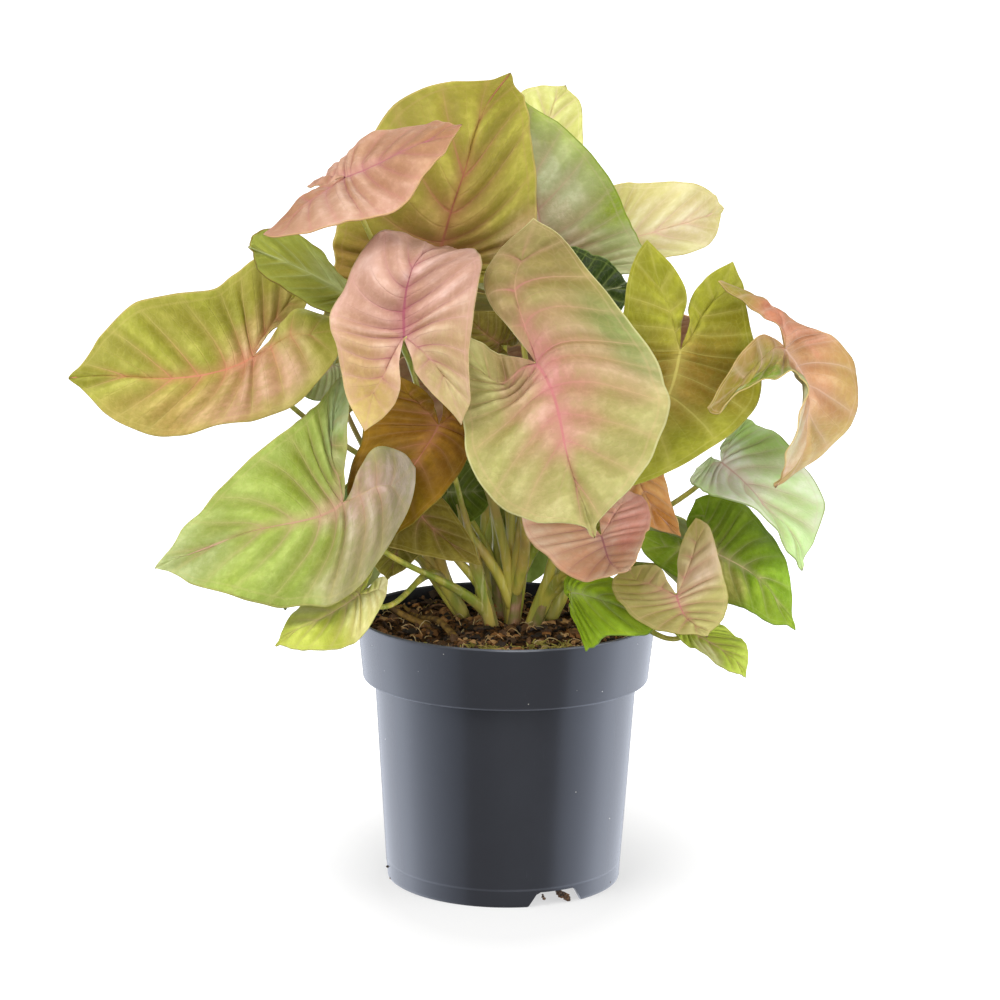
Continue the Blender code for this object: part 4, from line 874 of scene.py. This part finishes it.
def stemSkin():  # smooth young stem: waxy green with paler ribs along it and a warm blush near the foot
    material, tree = startMaterial("youngGreenStem")
    place = addNode(tree, "TexCoord", result="Object")
    tall = addNode(tree, "Mapping", {0: place, 3: (1.0, 1.0, 0.07)})
    streak = addNode(tree, "TexNoise", {0: tall, 2: 750.0, 3: 3.0})  # streaks about 1.3 mm wide
    broad = addNode(tree, "TexNoise", {0: tall, 2: 160.0, 3: 2.0})  # bands about 6 mm wide
    blotch = addNode(tree, "TexNoise", {0: place, 2: 36.0, 3: 2.0})  # blotches about 30 mm wide
    height = addNode(tree, "SeparateXYZ", {0: place}, "Z")
    colour = painted(tree, linear(stemLook["green"]), (
        (broad, 0.38, 0.62, 1.0, linear(stemLook["shade"])),
        (streak, 0.55, 0.75, 0.55, linear(stemLook["pale"])),
        (blotch, 0.50, 0.70, 0.6, linear(stemLook["blush"])),
        (height, 0.112, 0.102, 0.55, linear(stemLook["foot"])),
    ))
    bump = addNode(tree, "Bump", {"Strength": 0.5, "Distance": 0.25 * mm, "Height": streak})
    endMaterial(tree, addNode(tree, "BsdfPrincipled", {
        "Base Color": colour, "Roughness": 0.38, "Normal": bump,
        "Subsurface Weight": 0.1, "Subsurface Radius": (0.002, 0.003, 0.001),
    }))
    return material


def sheathSkin():  # papery old sheath: brown-pink, thin enough to let light through, ribbed along its length
    material, tree = startMaterial("dryLeafSheath")
    place = addNode(tree, "TexCoord", result="Object")
    tall = addNode(tree, "Mapping", {0: place, 3: (1.0, 1.0, 0.08)})
    ribs = addNode(tree, "TexNoise", {0: tall, 2: 800.0, 3: 2.0})  # ribs 1.2 mm apart
    patch = addNode(tree, "TexNoise", {0: place, 2: 130.0, 3: 3.0})  # patches about 8 mm wide
    colour = painted(tree, linear(sheathLook["brown"]), (
        (ribs, 0.36, 0.64, 1.0, linear(sheathLook["rib"])),
        (patch, 0.36, 0.56, 1.0, linear(sheathLook["green"])),
    ))
    bump = addNode(tree, "Bump", {"Strength": 0.4, "Distance": 0.2 * mm, "Height": ribs})
    skin = addNode(tree, "BsdfPrincipled", {"Base Color": colour, "Roughness": 0.6, "Normal": bump})
    through = addNode(tree, "BsdfTranslucent", {"Color": colour})
    endMaterial(tree, addNode(tree, "MixShader", {0: 0.3, 1: skin, 2: through}))
    return material


def sheathAround(joined, base, lean, turn, tall, wide, flare):  # half a tube about the stem, pointed on top
    grid = bmesh.ops.create_grid(joined, x_segments=8, y_segments=12, size=0.5)
    for vertex in grid["verts"]:
        across, up = vertex.co.x * 2, vertex.co.y + 0.5
        angle = turn + across * math.radians(80) * (1 - up**1.3) + 0.1 * math.sin(6 * up + turn)
        radius = wide * (1 - 0.2 * up) + flare * up**2 * 4
        spot = base + lean * (tall * up - 2.0) + np.array((math.sin(angle), -math.cos(angle), 0.0)) * radius
        vertex.co = Vector(spot) * mm
    faces = list({face for vertex in grid["verts"] for face in vertex.link_faces})
    bmesh.ops.recalc_face_normals(joined, faces=faces)


def makeShoot(number, shoot, own, skin, papery):
    base = np.array((*shoot["at"], soilHeight(*shoot["at"])))
    lean = np.array((*shoot["lean"], 1.0))
    thick = shoot["radius"]
    low, high = base - (0, 0, shootSet["depth"]), base + lean * shootSet["stand"]
    stem = (low, base, (base + high) / 2, high)
    strands = [(stem, (thick, thick, thick * 0.97, thick * shootSet["taper"]))]
    for leaf, share in zip(own, np.linspace(shootSet["low"], shootSet["high"], len(own))):
        strands.append(petioleWay(leaf, base + lean * shootSet["stand"] * share, unit(lean)))
    draw = random.Random(number + 40)
    for spear in range(shootSet["spears"]):  # young leaves, still rolled, among the petioles
        turn, tall = draw.uniform(0, math.tau), draw.uniform(*shootSet["spearTall"])
        side = np.array((math.sin(turn), -math.cos(turn), 0.0))
        foot = base + side * 1.6
        tip = base + lean * tall + side * draw.uniform(3, 9)
        middle = (foot + tip) / 2 + side * draw.uniform(-1.5, 2.0)
        knots = (foot, foot * 0.7 + middle * 0.3, middle, middle * 0.4 + tip * 0.6, tip)
        strands.append((knots, shootSet["spearRadii"]))
    work = smoothTubes(strands, 4, 3)
    bmesh.ops.remove_doubles(work, verts=work.verts, dist=0.001 * mm)
    stems = newObject(f"shoot{number + 1}Stems", work, [skin])
    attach(stems, "root")
    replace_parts(stems, f"shoot_{number + 1}")
    joined = bmesh.new()
    for piece in range(shootSet["sheaths"]):
        turn = draw.uniform(-1.4, 1.4) + piece * 2.6
        tall, wide = draw.uniform(*shootSet["sheathTall"]), thick + 0.4 + piece * 0.3
        sheathAround(joined, base, lean, turn, tall, wide, draw.uniform(*shootSet["sheathFlare"]))
    sheaths = newObject(f"shoot{number + 1}Sheaths", joined, [papery])
    wall = sheaths.modifiers.new("thickness", "SOLIDIFY")
    wall.thickness = shootSet["sheathWall"] * mm
    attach(sheaths, "root")


stemMaterial, sheathMaterial = stemSkin(), sheathSkin()
for number, shoot in shoots.items():
    own = [leaf for leaf in leaves.values() if leaf["shoot"] == number]
    makeShoot(number, shoot, own, stemMaterial, sheathMaterial)
print("shoots made:", len(shoots))


# pot, in mm: injection-moulded polypropylene, so an even satin with faint flow marks, scuffs and mould lines,
# and a painted highlight along the rim, the collar's lower edge and the foot line
potSet = dict(
    rimRadius=60.0, rim=108.0, collarRadius=57.5, collar=83.0, bodyRadius=52.7, baseRadius=47.3, wall=1.4,
    floorUnder=7.5, floorThick=1.8, footWall=2.0, holes=8, holeRadius=3.5, holeCircle=30.0, notches=3,
    notchAt=27.0, notchWidth=24.0, notchHeight=6.0, notchSlope=4.0, padRadius=14.0, padSlope=6.0, steps=160,
)
potLook = dict(
    # scuff is the colour both of the hair scratches and of the painted highlights along the edges
    grey="#292A2F", bloom="#313339", scuffAndEdgeHighlight="#8A8F9C", dust="#D8D6CE", gloss="#EFF5FF", sheen="#EFF3FF",
    rough=(0.22, 0.26),
    paintedEdgeHighlight=((107.8, 0.3), (83.25, 0.3), (7.3, 0.12)),  # height and share of each painted highlight along an edge
)


def potInside(height):  # inner radius of the wall at a height
    p = potSet
    if height >= p["collar"] + p["wall"]:
        share = (height - p["collar"]) / (p["rim"] - p["collar"])
        return p["collarRadius"] + share * (p["rimRadius"] - p["collarRadius"]) - p["wall"]
    share = height / p["collar"]
    return p["baseRadius"] + share * (p["bodyRadius"] - p["baseRadius"]) - p["wall"]


def wallRings(topRadius, top, lowRadius, low):  # a straight wall with support rings next to its ends
    shares = (0.0, min(0.3, 0.6 / (top - low)), 0.5, 1.0 - min(0.3, 0.6 / (top - low)), 1.0)
    return [(topRadius + share * (lowRadius - topRadius), top + share * (low - top)) for share in shares]


def potSkin():
    material, tree = startMaterial("mouldedPolypropylene")
    place = addNode(tree, "TexCoord", result="Object")
    # flow marks 15 mm wide and some 90 mm tall, clouds, and hair scratches 0.4 mm wide where it was rubbed
    tall = addNode(tree, "Mapping", {0: place, 3: (1.0, 1.0, 0.16)})
    flow = addNode(tree, "TexNoise", {0: tall, 2: 62.0, 3: 3.0})
    cloud = addNode(tree, "TexNoise", {0: place, 2: 30.0, 3: 4.0})
    fine = addNode(tree, "Mapping", {0: place, 3: (1.0, 1.0, 0.03)})
    hair = addNode(tree, "TexNoise", {0: fine, 2: 2300.0, 3: 2.0})
    hair = addNode(tree, "MapRange", {0: hair, 1: 0.66, 2: 0.74})
    patchy = addNode(tree, "TexNoise", {0: place, 2: 75.0, 3: 1.0})
    patchy = addNode(tree, "MapRange", {0: patchy, 1: 0.52, 2: 0.66})
    scratch = addNode(tree, "Math", {0: hair, 1: patchy}, operation="MULTIPLY")
    # dust: one spot in about 5 mm, and few of those
    speck = addNode(tree, "TexVoronoi", {0: place, 2: 210.0}, "Distance", feature="F1")
    near = addNode(tree, "MapRange", {0: speck, 1: 0.07, 2: 0.03})
    few = addNode(tree, "SeparateColor", {0: speck.node.outputs["Color"]})
    few = addNode(tree, "MapRange", {0: few, 1: 0.86, 2: 0.88})
    dust = addNode(tree, "Math", {0: near, 1: few}, operation="MULTIPLY")
    grain = addNode(tree, "TexNoise", {0: place, 2: 1600.0, 3: 2.0})  # spark grain, 0.6 mm
    colour = painted(tree, linear(potLook["grey"]), (
        (cloud, 0.42, 0.78, 0.45, linear(potLook["bloom"])),
        (scratch, 0.0, 1.0, 0.03, linear(potLook["scuffAndEdgeHighlight"])),
    ))
    height = addNode(tree, "SeparateXYZ", {0: place}, "Z")
    # painted highlight: pale bands along the rim's top, the collar's lower edge and the foot line, broken up
    # by the clouds
    highlightPatches = addNode(tree, "MapRange", {0: cloud, 1: 0.3, 2: 0.6, 3: 0.4})
    for level, share in potLook["paintedEdgeHighlight"]:
        apart = addNode(tree, "Math", {0: height, 1: level * mm}, operation="SUBTRACT")
        apart = addNode(tree, "Math", {0: apart}, operation="ABSOLUTE")
        edge = addNode(tree, "MapRange", {0: apart, 1: 0.6 * mm, 2: 0.2 * mm})
        paintedEdgeHighlight = addNode(tree, "Math", {0: edge, 1: highlightPatches}, operation="MULTIPLY")
        colour = painted(tree, colour, ((paintedEdgeHighlight, 0.0, 1.0, share, linear(potLook["scuffAndEdgeHighlight"])),))
    colour = painted(tree, colour, ((dust, 0.0, 1.0, 0.9, linear(potLook["dust"])),))
    smooth, dull = potLook["rough"]
    rough = addNode(tree, "MapRange", {0: flow, 1: 0.3, 2: 0.7, 3: smooth, 4: dull})
    bump = addNode(tree, "Bump", {"Strength": 0.2, "Distance": 0.05 * mm, "Height": grain})
    # the sheen is fine dust, which pales the wall where it turns away
    endMaterial(tree, addNode(tree, "BsdfPrincipled", {
        "Base Color": colour, "Roughness": rough, "IOR": 1.49, "Normal": bump, "Specular IOR Level": 0.52,
        "Specular Tint": linear(potLook["gloss"]), "Sheen Weight": 0.08, "Sheen Roughness": 0.45,
        "Sheen Tint": linear(potLook["sheen"]),
    }))
    return material


def potProfile():  # radius and height, from the middle of the floor up the inside and down the outside
    p = potSet
    under, thick, wall, pad, slope = p["floorUnder"], p["floorThick"], p["wall"], p["padRadius"], p["padSlope"]
    rim, brim, collar, neck = p["rimRadius"], p["rim"], p["collarRadius"], p["collar"]
    body, base, foot = p["bodyRadius"], p["baseRadius"], p["baseRadius"] - p["footWall"]
    floor, step = under + thick, neck + wall
    return (
        (0.0, thick), (pad - 0.9, thick), (pad + slope - 0.9, floor), (potInside(floor) - 2.0, floor),
        (potInside(floor) - 0.6, floor + 0.6), (potInside(floor), floor + 2.0),
        (potInside(step - 0.01), step), (potInside(step), step),
        (rim - wall, brim - 0.3), (rim - wall + 0.4, brim), (rim - 0.4, brim), (rim - 0.08, brim - 0.16),
        (rim, brim - 0.5), *wallRings(rim, brim - 0.9, collar, neck + 0.9),
        (collar, neck + 0.4), (collar - 0.12, neck + 0.12), (collar - 0.4, neck), (body + 0.35, neck - 0.02),
        (body + 0.06, neck - 0.16), *wallRings(body, neck - 0.6, base + 0.46, 7.5), (base + 0.38, 7.2),
        *wallRings(base + 0.40, 6.9, base + 0.1, 1.0), (base - 0.12, 0.3), (base - 0.6, 0.0),
        (foot + 0.3, 0.0), (foot, 0.5), (foot, under - 0.4), (foot - 0.5, under), (pad + slope, under),
        (pad, 0.0), (0.0, 0.0),
    )


def onCircle(radius, turn, height=0.0):  # a place round the pot's axis, its turn counted from the front
    return Vector((radius * math.sin(turn), -radius * math.cos(turn), height))


def holeCutter(number):
    work, radius = bmesh.new(), potSet["holeRadius"] * mm
    bmesh.ops.create_cone(work, cap_ends=True, segments=28, radius1=radius, radius2=radius, depth=8 * mm)
    turn = math.tau * (number + 0.5) / potSet["holes"]
    bmesh.ops.translate(work, verts=work.verts, vec=onCircle(potSet["holeCircle"], turn, 8.4) * mm)
    return newObject("drainCutter", work, [])


def notchCutter(number):
    half, slope, high = potSet["notchWidth"] / 2, potSet["notchSlope"], potSet["notchHeight"]
    work = bmesh.new()
    outline = ((-half, -2.0), (-half, 0.0), (-half + slope * 0.8, high - 0.9), (-half + slope + 0.9, high),
               (half - slope - 0.9, high), (half - slope * 0.8, high - 0.9), (half, 0.0), (half, -2.0))
    face = work.faces.new([work.verts.new((x * mm, -5 * mm, z * mm)) for x, z in outline])
    grown = bmesh.ops.extrude_face_region(work, geom=[face])
    moved = [item for item in grown["geom"] if isinstance(item, bmesh.types.BMVert)]
    bmesh.ops.translate(work, verts=moved, vec=(0, 10 * mm, 0))
    bmesh.ops.recalc_face_normals(work, faces=work.faces)
    turn = math.radians(potSet["notchAt"]) + math.tau * number / potSet["notches"]
    place = Matrix.Translation(onCircle(potSet["baseRadius"] - potSet["footWall"] / 2, turn) * mm)
    bmesh.ops.transform(work, matrix=place @ Matrix.Rotation(turn, 4, "Z"), verts=work.verts)
    return newObject("notchCutter", work, [])


def makePot():
    pot = newObject("potBody", turned(potProfile(), potSet["steps"]), [potSkin()])
    cutters = [holeCutter(number) for number in range(potSet["holes"])]
    cutters += [notchCutter(number) for number in range(potSet["notches"])]
    holder = bpy.data.collections.new("potCutters")
    for cutter in cutters:
        holder.objects.link(cutter)
    cut = pot.modifiers.new("cut", "BOOLEAN")
    cut.operand_type = "COLLECTION"
    cut.collection = holder
    bpy.context.view_layer.update()
    mesh = bpy.data.meshes.new_from_object(pot.evaluated_get(bpy.context.evaluated_depsgraph_get()))
    pot.modifiers.clear()
    pot.data = mesh
    for cutter in cutters:
        bpy.data.objects.remove(cutter)
    bpy.data.collections.remove(holder)
    mesh.shade_smooth()
    mesh.set_sharp_from_angle(angle=math.radians(40))
    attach(pot, "root")
    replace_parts(pot, "pot")


makePot()
print("pot made")


def soilSkin():  # moist peat: nearly black hollows, brown crumbs, no shine
    material, tree = startMaterial("moistPeat")
    place = addNode(tree, "TexCoord", result="Object")
    crumb = addNode(tree, "TexNoise", {0: place, 2: 420.0, 3: 5.0})  # crumbs of 2 to 3 mm
    colour = painted(tree, linear(soilLook["dark"]), ((crumb, 0.40, 0.66, 1.0, linear(soilLook["brown"])),))
    bump = addNode(tree, "Bump", {"Strength": 1.0, "Distance": 1.5 * mm, "Height": crumb})
    endMaterial(tree, addNode(tree, "BsdfPrincipled", {
        "Base Color": colour, "Roughness": 0.95, "Normal": bump, "Specular IOR Level": 0.15,
    }))
    return material


def chipSkin():  # broken bark: each flake its own brown, paler and tan where it is torn
    material, tree = startMaterial("brokenPineBark")
    place = addNode(tree, "TexCoord", result="Object")
    own = addNode(tree, "Attribute", result="Fac", attribute_name="ownShade")
    layers = addNode(tree, "TexNoise", {0: place, 2: 1100.0, 3: 3.0})  # bark layers under 1 mm
    torn = addNode(tree, "MapRange", {0: layers, 1: 0.56, 2: 0.7, 4: 0.6})
    torn = addNode(tree, "Math", {0: torn, 1: own}, operation="MULTIPLY")
    colour = painted(tree, linear(soilLook["dark"]), (
        (own, 0.0, 0.45, 1.0, linear(soilLook["brown"])),
        (own, 0.45, 0.8, 1.0, linear(soilLook["red"])),
        (own, 0.8, 1.0, 1.0, linear(soilLook["tan"])),
        (torn, 0.0, 1.0, 1.0, linear(soilLook["tan"])),
    ))
    bump = addNode(tree, "Bump", {"Strength": 0.9, "Distance": 0.4 * mm, "Height": layers})
    skin = addNode(tree, "BsdfPrincipled", {"Base Color": colour, "Roughness": 0.72, "Normal": bump})
    endMaterial(tree, skin)
    return material


def strandSkin(name, first, second):  # fine plant threads, dull and a little translucent
    material, tree = startMaterial(name)
    place = addNode(tree, "TexCoord", result="Object")
    cloud = addNode(tree, "TexNoise", {0: place, 2: 300.0, 3: 3.0})  # turns colour every 3 mm
    colour = painted(tree, linear(soilLook[first]), ((cloud, 0.4, 0.6, 1.0, linear(soilLook[second])),))
    skin = addNode(tree, "BsdfPrincipled", {"Base Color": colour, "Roughness": 0.7})
    through = addNode(tree, "BsdfTranslucent", {"Color": colour})
    endMaterial(tree, addNode(tree, "MixShader", {0: 0.25, 1: skin, 2: through}))
    return material


def soilPiece(name, work, material):
    piece = newObject(name, work, [material])
    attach(piece, "root")
    return piece


def soilTop(x, y):  # the crumbly surface: the CAD's mound with lumps of 5 mm and of 2 mm
    inner = np.clip((potInside(soilSet["edge"]) - math.hypot(x, y)) / 2.0, 0.2, 1.0)
    lumps = 1.6 * noise.noise((x / 5.0, y / 5.0, 3.0)) + 1.1 * noise.noise((x / 2.2, y / 2.2, 9.0))
    return soilHeight(x, y) + inner * lumps - 0.5


def makeSoil():
    edge, gap = potInside(soilSet["edge"]) - soilSet["wall"], soilSet["wall"]
    pad, floor = potSet["padRadius"] - 1.5, potSet["floorThick"] + gap
    step, bottom = potSet["collar"] + potSet["wall"] + gap, potSet["floorUnder"] + floor
    profile = [(edge * ring / 60, soilSet["edge"]) for ring in range(61)]
    profile += [
        (potInside(step) - gap, step), (potInside(step - 0.6) - gap, step - 0.3),
        (potInside(bottom + 2.0) - gap, bottom + 2.0), (potInside(bottom) - 2.3, bottom),
        (pad + potSet["padSlope"], bottom), (pad, floor), (0.0, floor),
    ]
    work = turned(profile, 220)
    for vertex in work.verts:
        x, y, z = vertex.co / mm
        if z > soilSet["edge"] - 0.1:
            vertex.co.z = soilTop(x, y) * mm
    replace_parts(soilPiece("pottingMix", work, soilSkin()), "soil")


def scatter(draw, inner=0.0):  # an even random spot on the mix
    turn = draw.uniform(0, math.tau)
    reach = math.sqrt(draw.uniform(inner, 1.0)) * (potInside(soilSet["edge"]) - 2.4)
    return reach * math.sin(turn), -reach * math.cos(turn)


def addFlake(joined, draw, number, grow):  # curled flake of bark, longer than wide, flat on the ground
    fresh = bmesh.ops.create_grid(joined, x_segments=4, y_segments=2, size=0.5)["verts"]
    size = draw.uniform(1.8, 5.6) * grow
    width = size * draw.uniform(0.35, 0.75)
    curl, warp = draw.uniform(0.5, 2.4) / size, draw.uniform(-0.5, 0.5)
    for vertex in fresh:
        u, v = vertex.co.x * size, vertex.co.y * width
        uneven = 0.16 * size * noise.noise((u * 1.1 + number, v * 1.1, 0.0))
        height = (1 - math.cos(u * curl)) / curl * -1 + warp * v + uneven
        vertex.co = (math.sin(u * curl) / curl, v + uneven, height)
    faces = list({face for vertex in fresh for face in vertex.link_faces})
    grown = bmesh.ops.extrude_face_region(joined, geom=faces)
    raised = [item for item in grown["geom"] if isinstance(item, bmesh.types.BMVert)]
    bmesh.ops.translate(joined, verts=raised, vec=(0.0, 0.0, draw.uniform(0.35, 0.9)))
    return fresh + raised


def makeChips():
    draw = random.Random(11)
    joined = bmesh.new()
    shadeMap = joined.verts.layers.float.new("ownShade")
    for chip in range(soilSet["chips"] + soilSet["crumbs"]):
        x, y = scatter(draw)
        rise, grow = draw.uniform(0.0, 0.9), 1.0
        if chip % 9 == 0:  # lumps heaped against the stems at the back and left
            x, y = draw.uniform(-42, 14), draw.uniform(14, 44)
            x, y = (x, y) if math.hypot(x, y) < 50 else (x * 0.8, y * 0.8)
            rise, grow = draw.uniform(0.0, 5.5), 1.5
        shade = draw.random() ** 1.55
        if chip < soilSet["chips"]:
            fresh = addFlake(joined, draw, chip, grow)
            tilt = draw.uniform(-0.7, 0.7)
        else:
            fresh = bmesh.ops.create_icosphere(joined, subdivisions=1, radius=draw.uniform(0.4, 1.0))["verts"]
            tilt = draw.uniform(0, 3)
            shade *= 0.8
        turn = Matrix.Rotation(draw.uniform(0, math.tau), 4, "Z") @ Matrix.Rotation(tilt, 4, "X")
        place = Matrix.Translation((x, y, soilTop(x, y) + rise))
        bmesh.ops.transform(joined, matrix=Matrix.Scale(mm, 4) @ place @ turn, verts=fresh)
        for vertex in fresh:
            vertex[shadeMap] = shade
    bmesh.ops.recalc_face_normals(joined, faces=joined.faces)
    chips = soilPiece("barkChips", joined, chipSkin())
    chips.data.set_sharp_from_angle(angle=math.radians(38))


# where mix that has worked out through the notch clings: degrees round the foot, mm proud, height, slope,
# crumbs, spread in degrees
footClumps = (
    (31.5, -0.6, 3.1, -0.55, 60, 2.4), (20.3, 0.1, 3.6, 0.0, 4, 0.4), (-79.0, 0.4, 4.4, 0.0, 3, 0.6),
    (-74.0, 0.4, 1.6, 0.0, 3, 0.5), (66.0, 0.4, 3.0, 0.0, 1, 0.1),
)


def makeFootCrumbs():
    draw = random.Random(3)
    work = bmesh.new()
    shadeMap = work.verts.layers.float.new("ownShade")
    for middle, proud, high, slope, count, loose in footClumps:
        for crumb in range(count):
            size = draw.uniform(0.35, 0.85)
            apart = draw.uniform(-1.5, 1.5) * loose
            reach = potSet["baseRadius"] + proud - draw.uniform(0.0, 1.6)
            up = high + slope * apart + draw.gauss(0, 0.7)
            place = onCircle(reach, math.radians(middle + apart), min(max(size, up), 5.4))
            shape = (draw.uniform(0.8, 1.6), draw.uniform(0.7, 1.3), draw.uniform(0.7, 1.1), 1.0)
            fresh = bmesh.ops.create_icosphere(work, subdivisions=1, radius=size)["verts"]
            put = Matrix.Scale(mm, 4) @ Matrix.Translation(place) @ Matrix.Diagonal(shape)
            bmesh.ops.transform(work, matrix=put, verts=fresh)
            shade = draw.uniform(0.0, 0.3)
            for vertex in fresh:
                vertex[shadeMap] = shade
    soilPiece("footCrumbs", work, bpy.data.materials["brokenPineBark"])


def straws(draw):  # fine dry fibres that arch over the mix, all inside the rim
    for fibre in range(soilSet["fibres"]):
        x, y = scatter(draw)
        turn, long, rise = draw.uniform(0, math.tau), draw.uniform(2.5, 7.5), draw.uniform(0.4, 3.6)
        way = np.array((math.cos(turn), math.sin(turn), 0.0))
        start = np.array((x, y, soilTop(x, y) - 0.3))
        bend = np.array((draw.uniform(-1, 1), draw.uniform(-1, 1), 0.0))
        middle, end = start + way * long * 0.5 + bend + (0, 0, rise), start + way * long + (0, 0, rise * 0.6)
        points = np.array((start, middle, end))
        reach = np.hypot(points[:, 0], points[:, 1])
        points[:, :2] *= np.minimum(1.0, 56 / reach)[:, None]
        yield points, (0.24, 0.2, 0.1)


def mosses(draw):  # tufts of short threads
    for tuft in range(soilSet["tufts"]):
        x, y = scatter(draw, 0.35)
        if tuft < soilSet["frontTufts"]:  # most of the moss lies in front of the stems
            x, y = draw.choice((-16, -9, -2, 13, 20)) + draw.gauss(0, 2.5), -draw.uniform(30, 46)
        for thread in range(soilSet["threads"]):
            at = np.array((x + draw.gauss(0, 2.0), y + draw.gauss(0, 1.5)))
            start = np.array((*at, soilTop(*at) - 0.2))
            out = np.array((draw.gauss(0, 1.6), draw.gauss(0, 1.6), draw.uniform(0.2, 2.0)))
            yield (start, start + out * 0.6 + (0, 0, 0.3), start + out * (1.2, 1.2, 0.9)), (0.34, 0.3, 0.12)


def makeStrands():
    draw = random.Random(5)
    straw, moss = list(straws(draw)), list(mosses(draw))
    stalks = [[np.array((*spot, soilTop(*spot) + rise)) for *spot, rise in way] for way in stalkWays]
    stalks = [(way, (1.5, 1.3, 1.1, 0.7)[: len(way)]) for way in stalks]
    pieces = (
        ("dryStalks", smoothTubes(stalks, 3, 4), strandSkin("dryStalk", "stalk", "stalkShade")),
        ("strawFibres", smoothTubes(straw, 0, 2), strandSkin("dryPlantFibre", "straw", "tan")),
        ("mossTufts", smoothTubes(moss, 0, 2), strandSkin("dampMoss", "moss", "mossShade")),
    )
    for name, work, material in pieces:
        soilPiece(name, work, material)


makeSoil()
makeChips()
makeFootCrumbs()
makeStrands()
print("potting mix made")
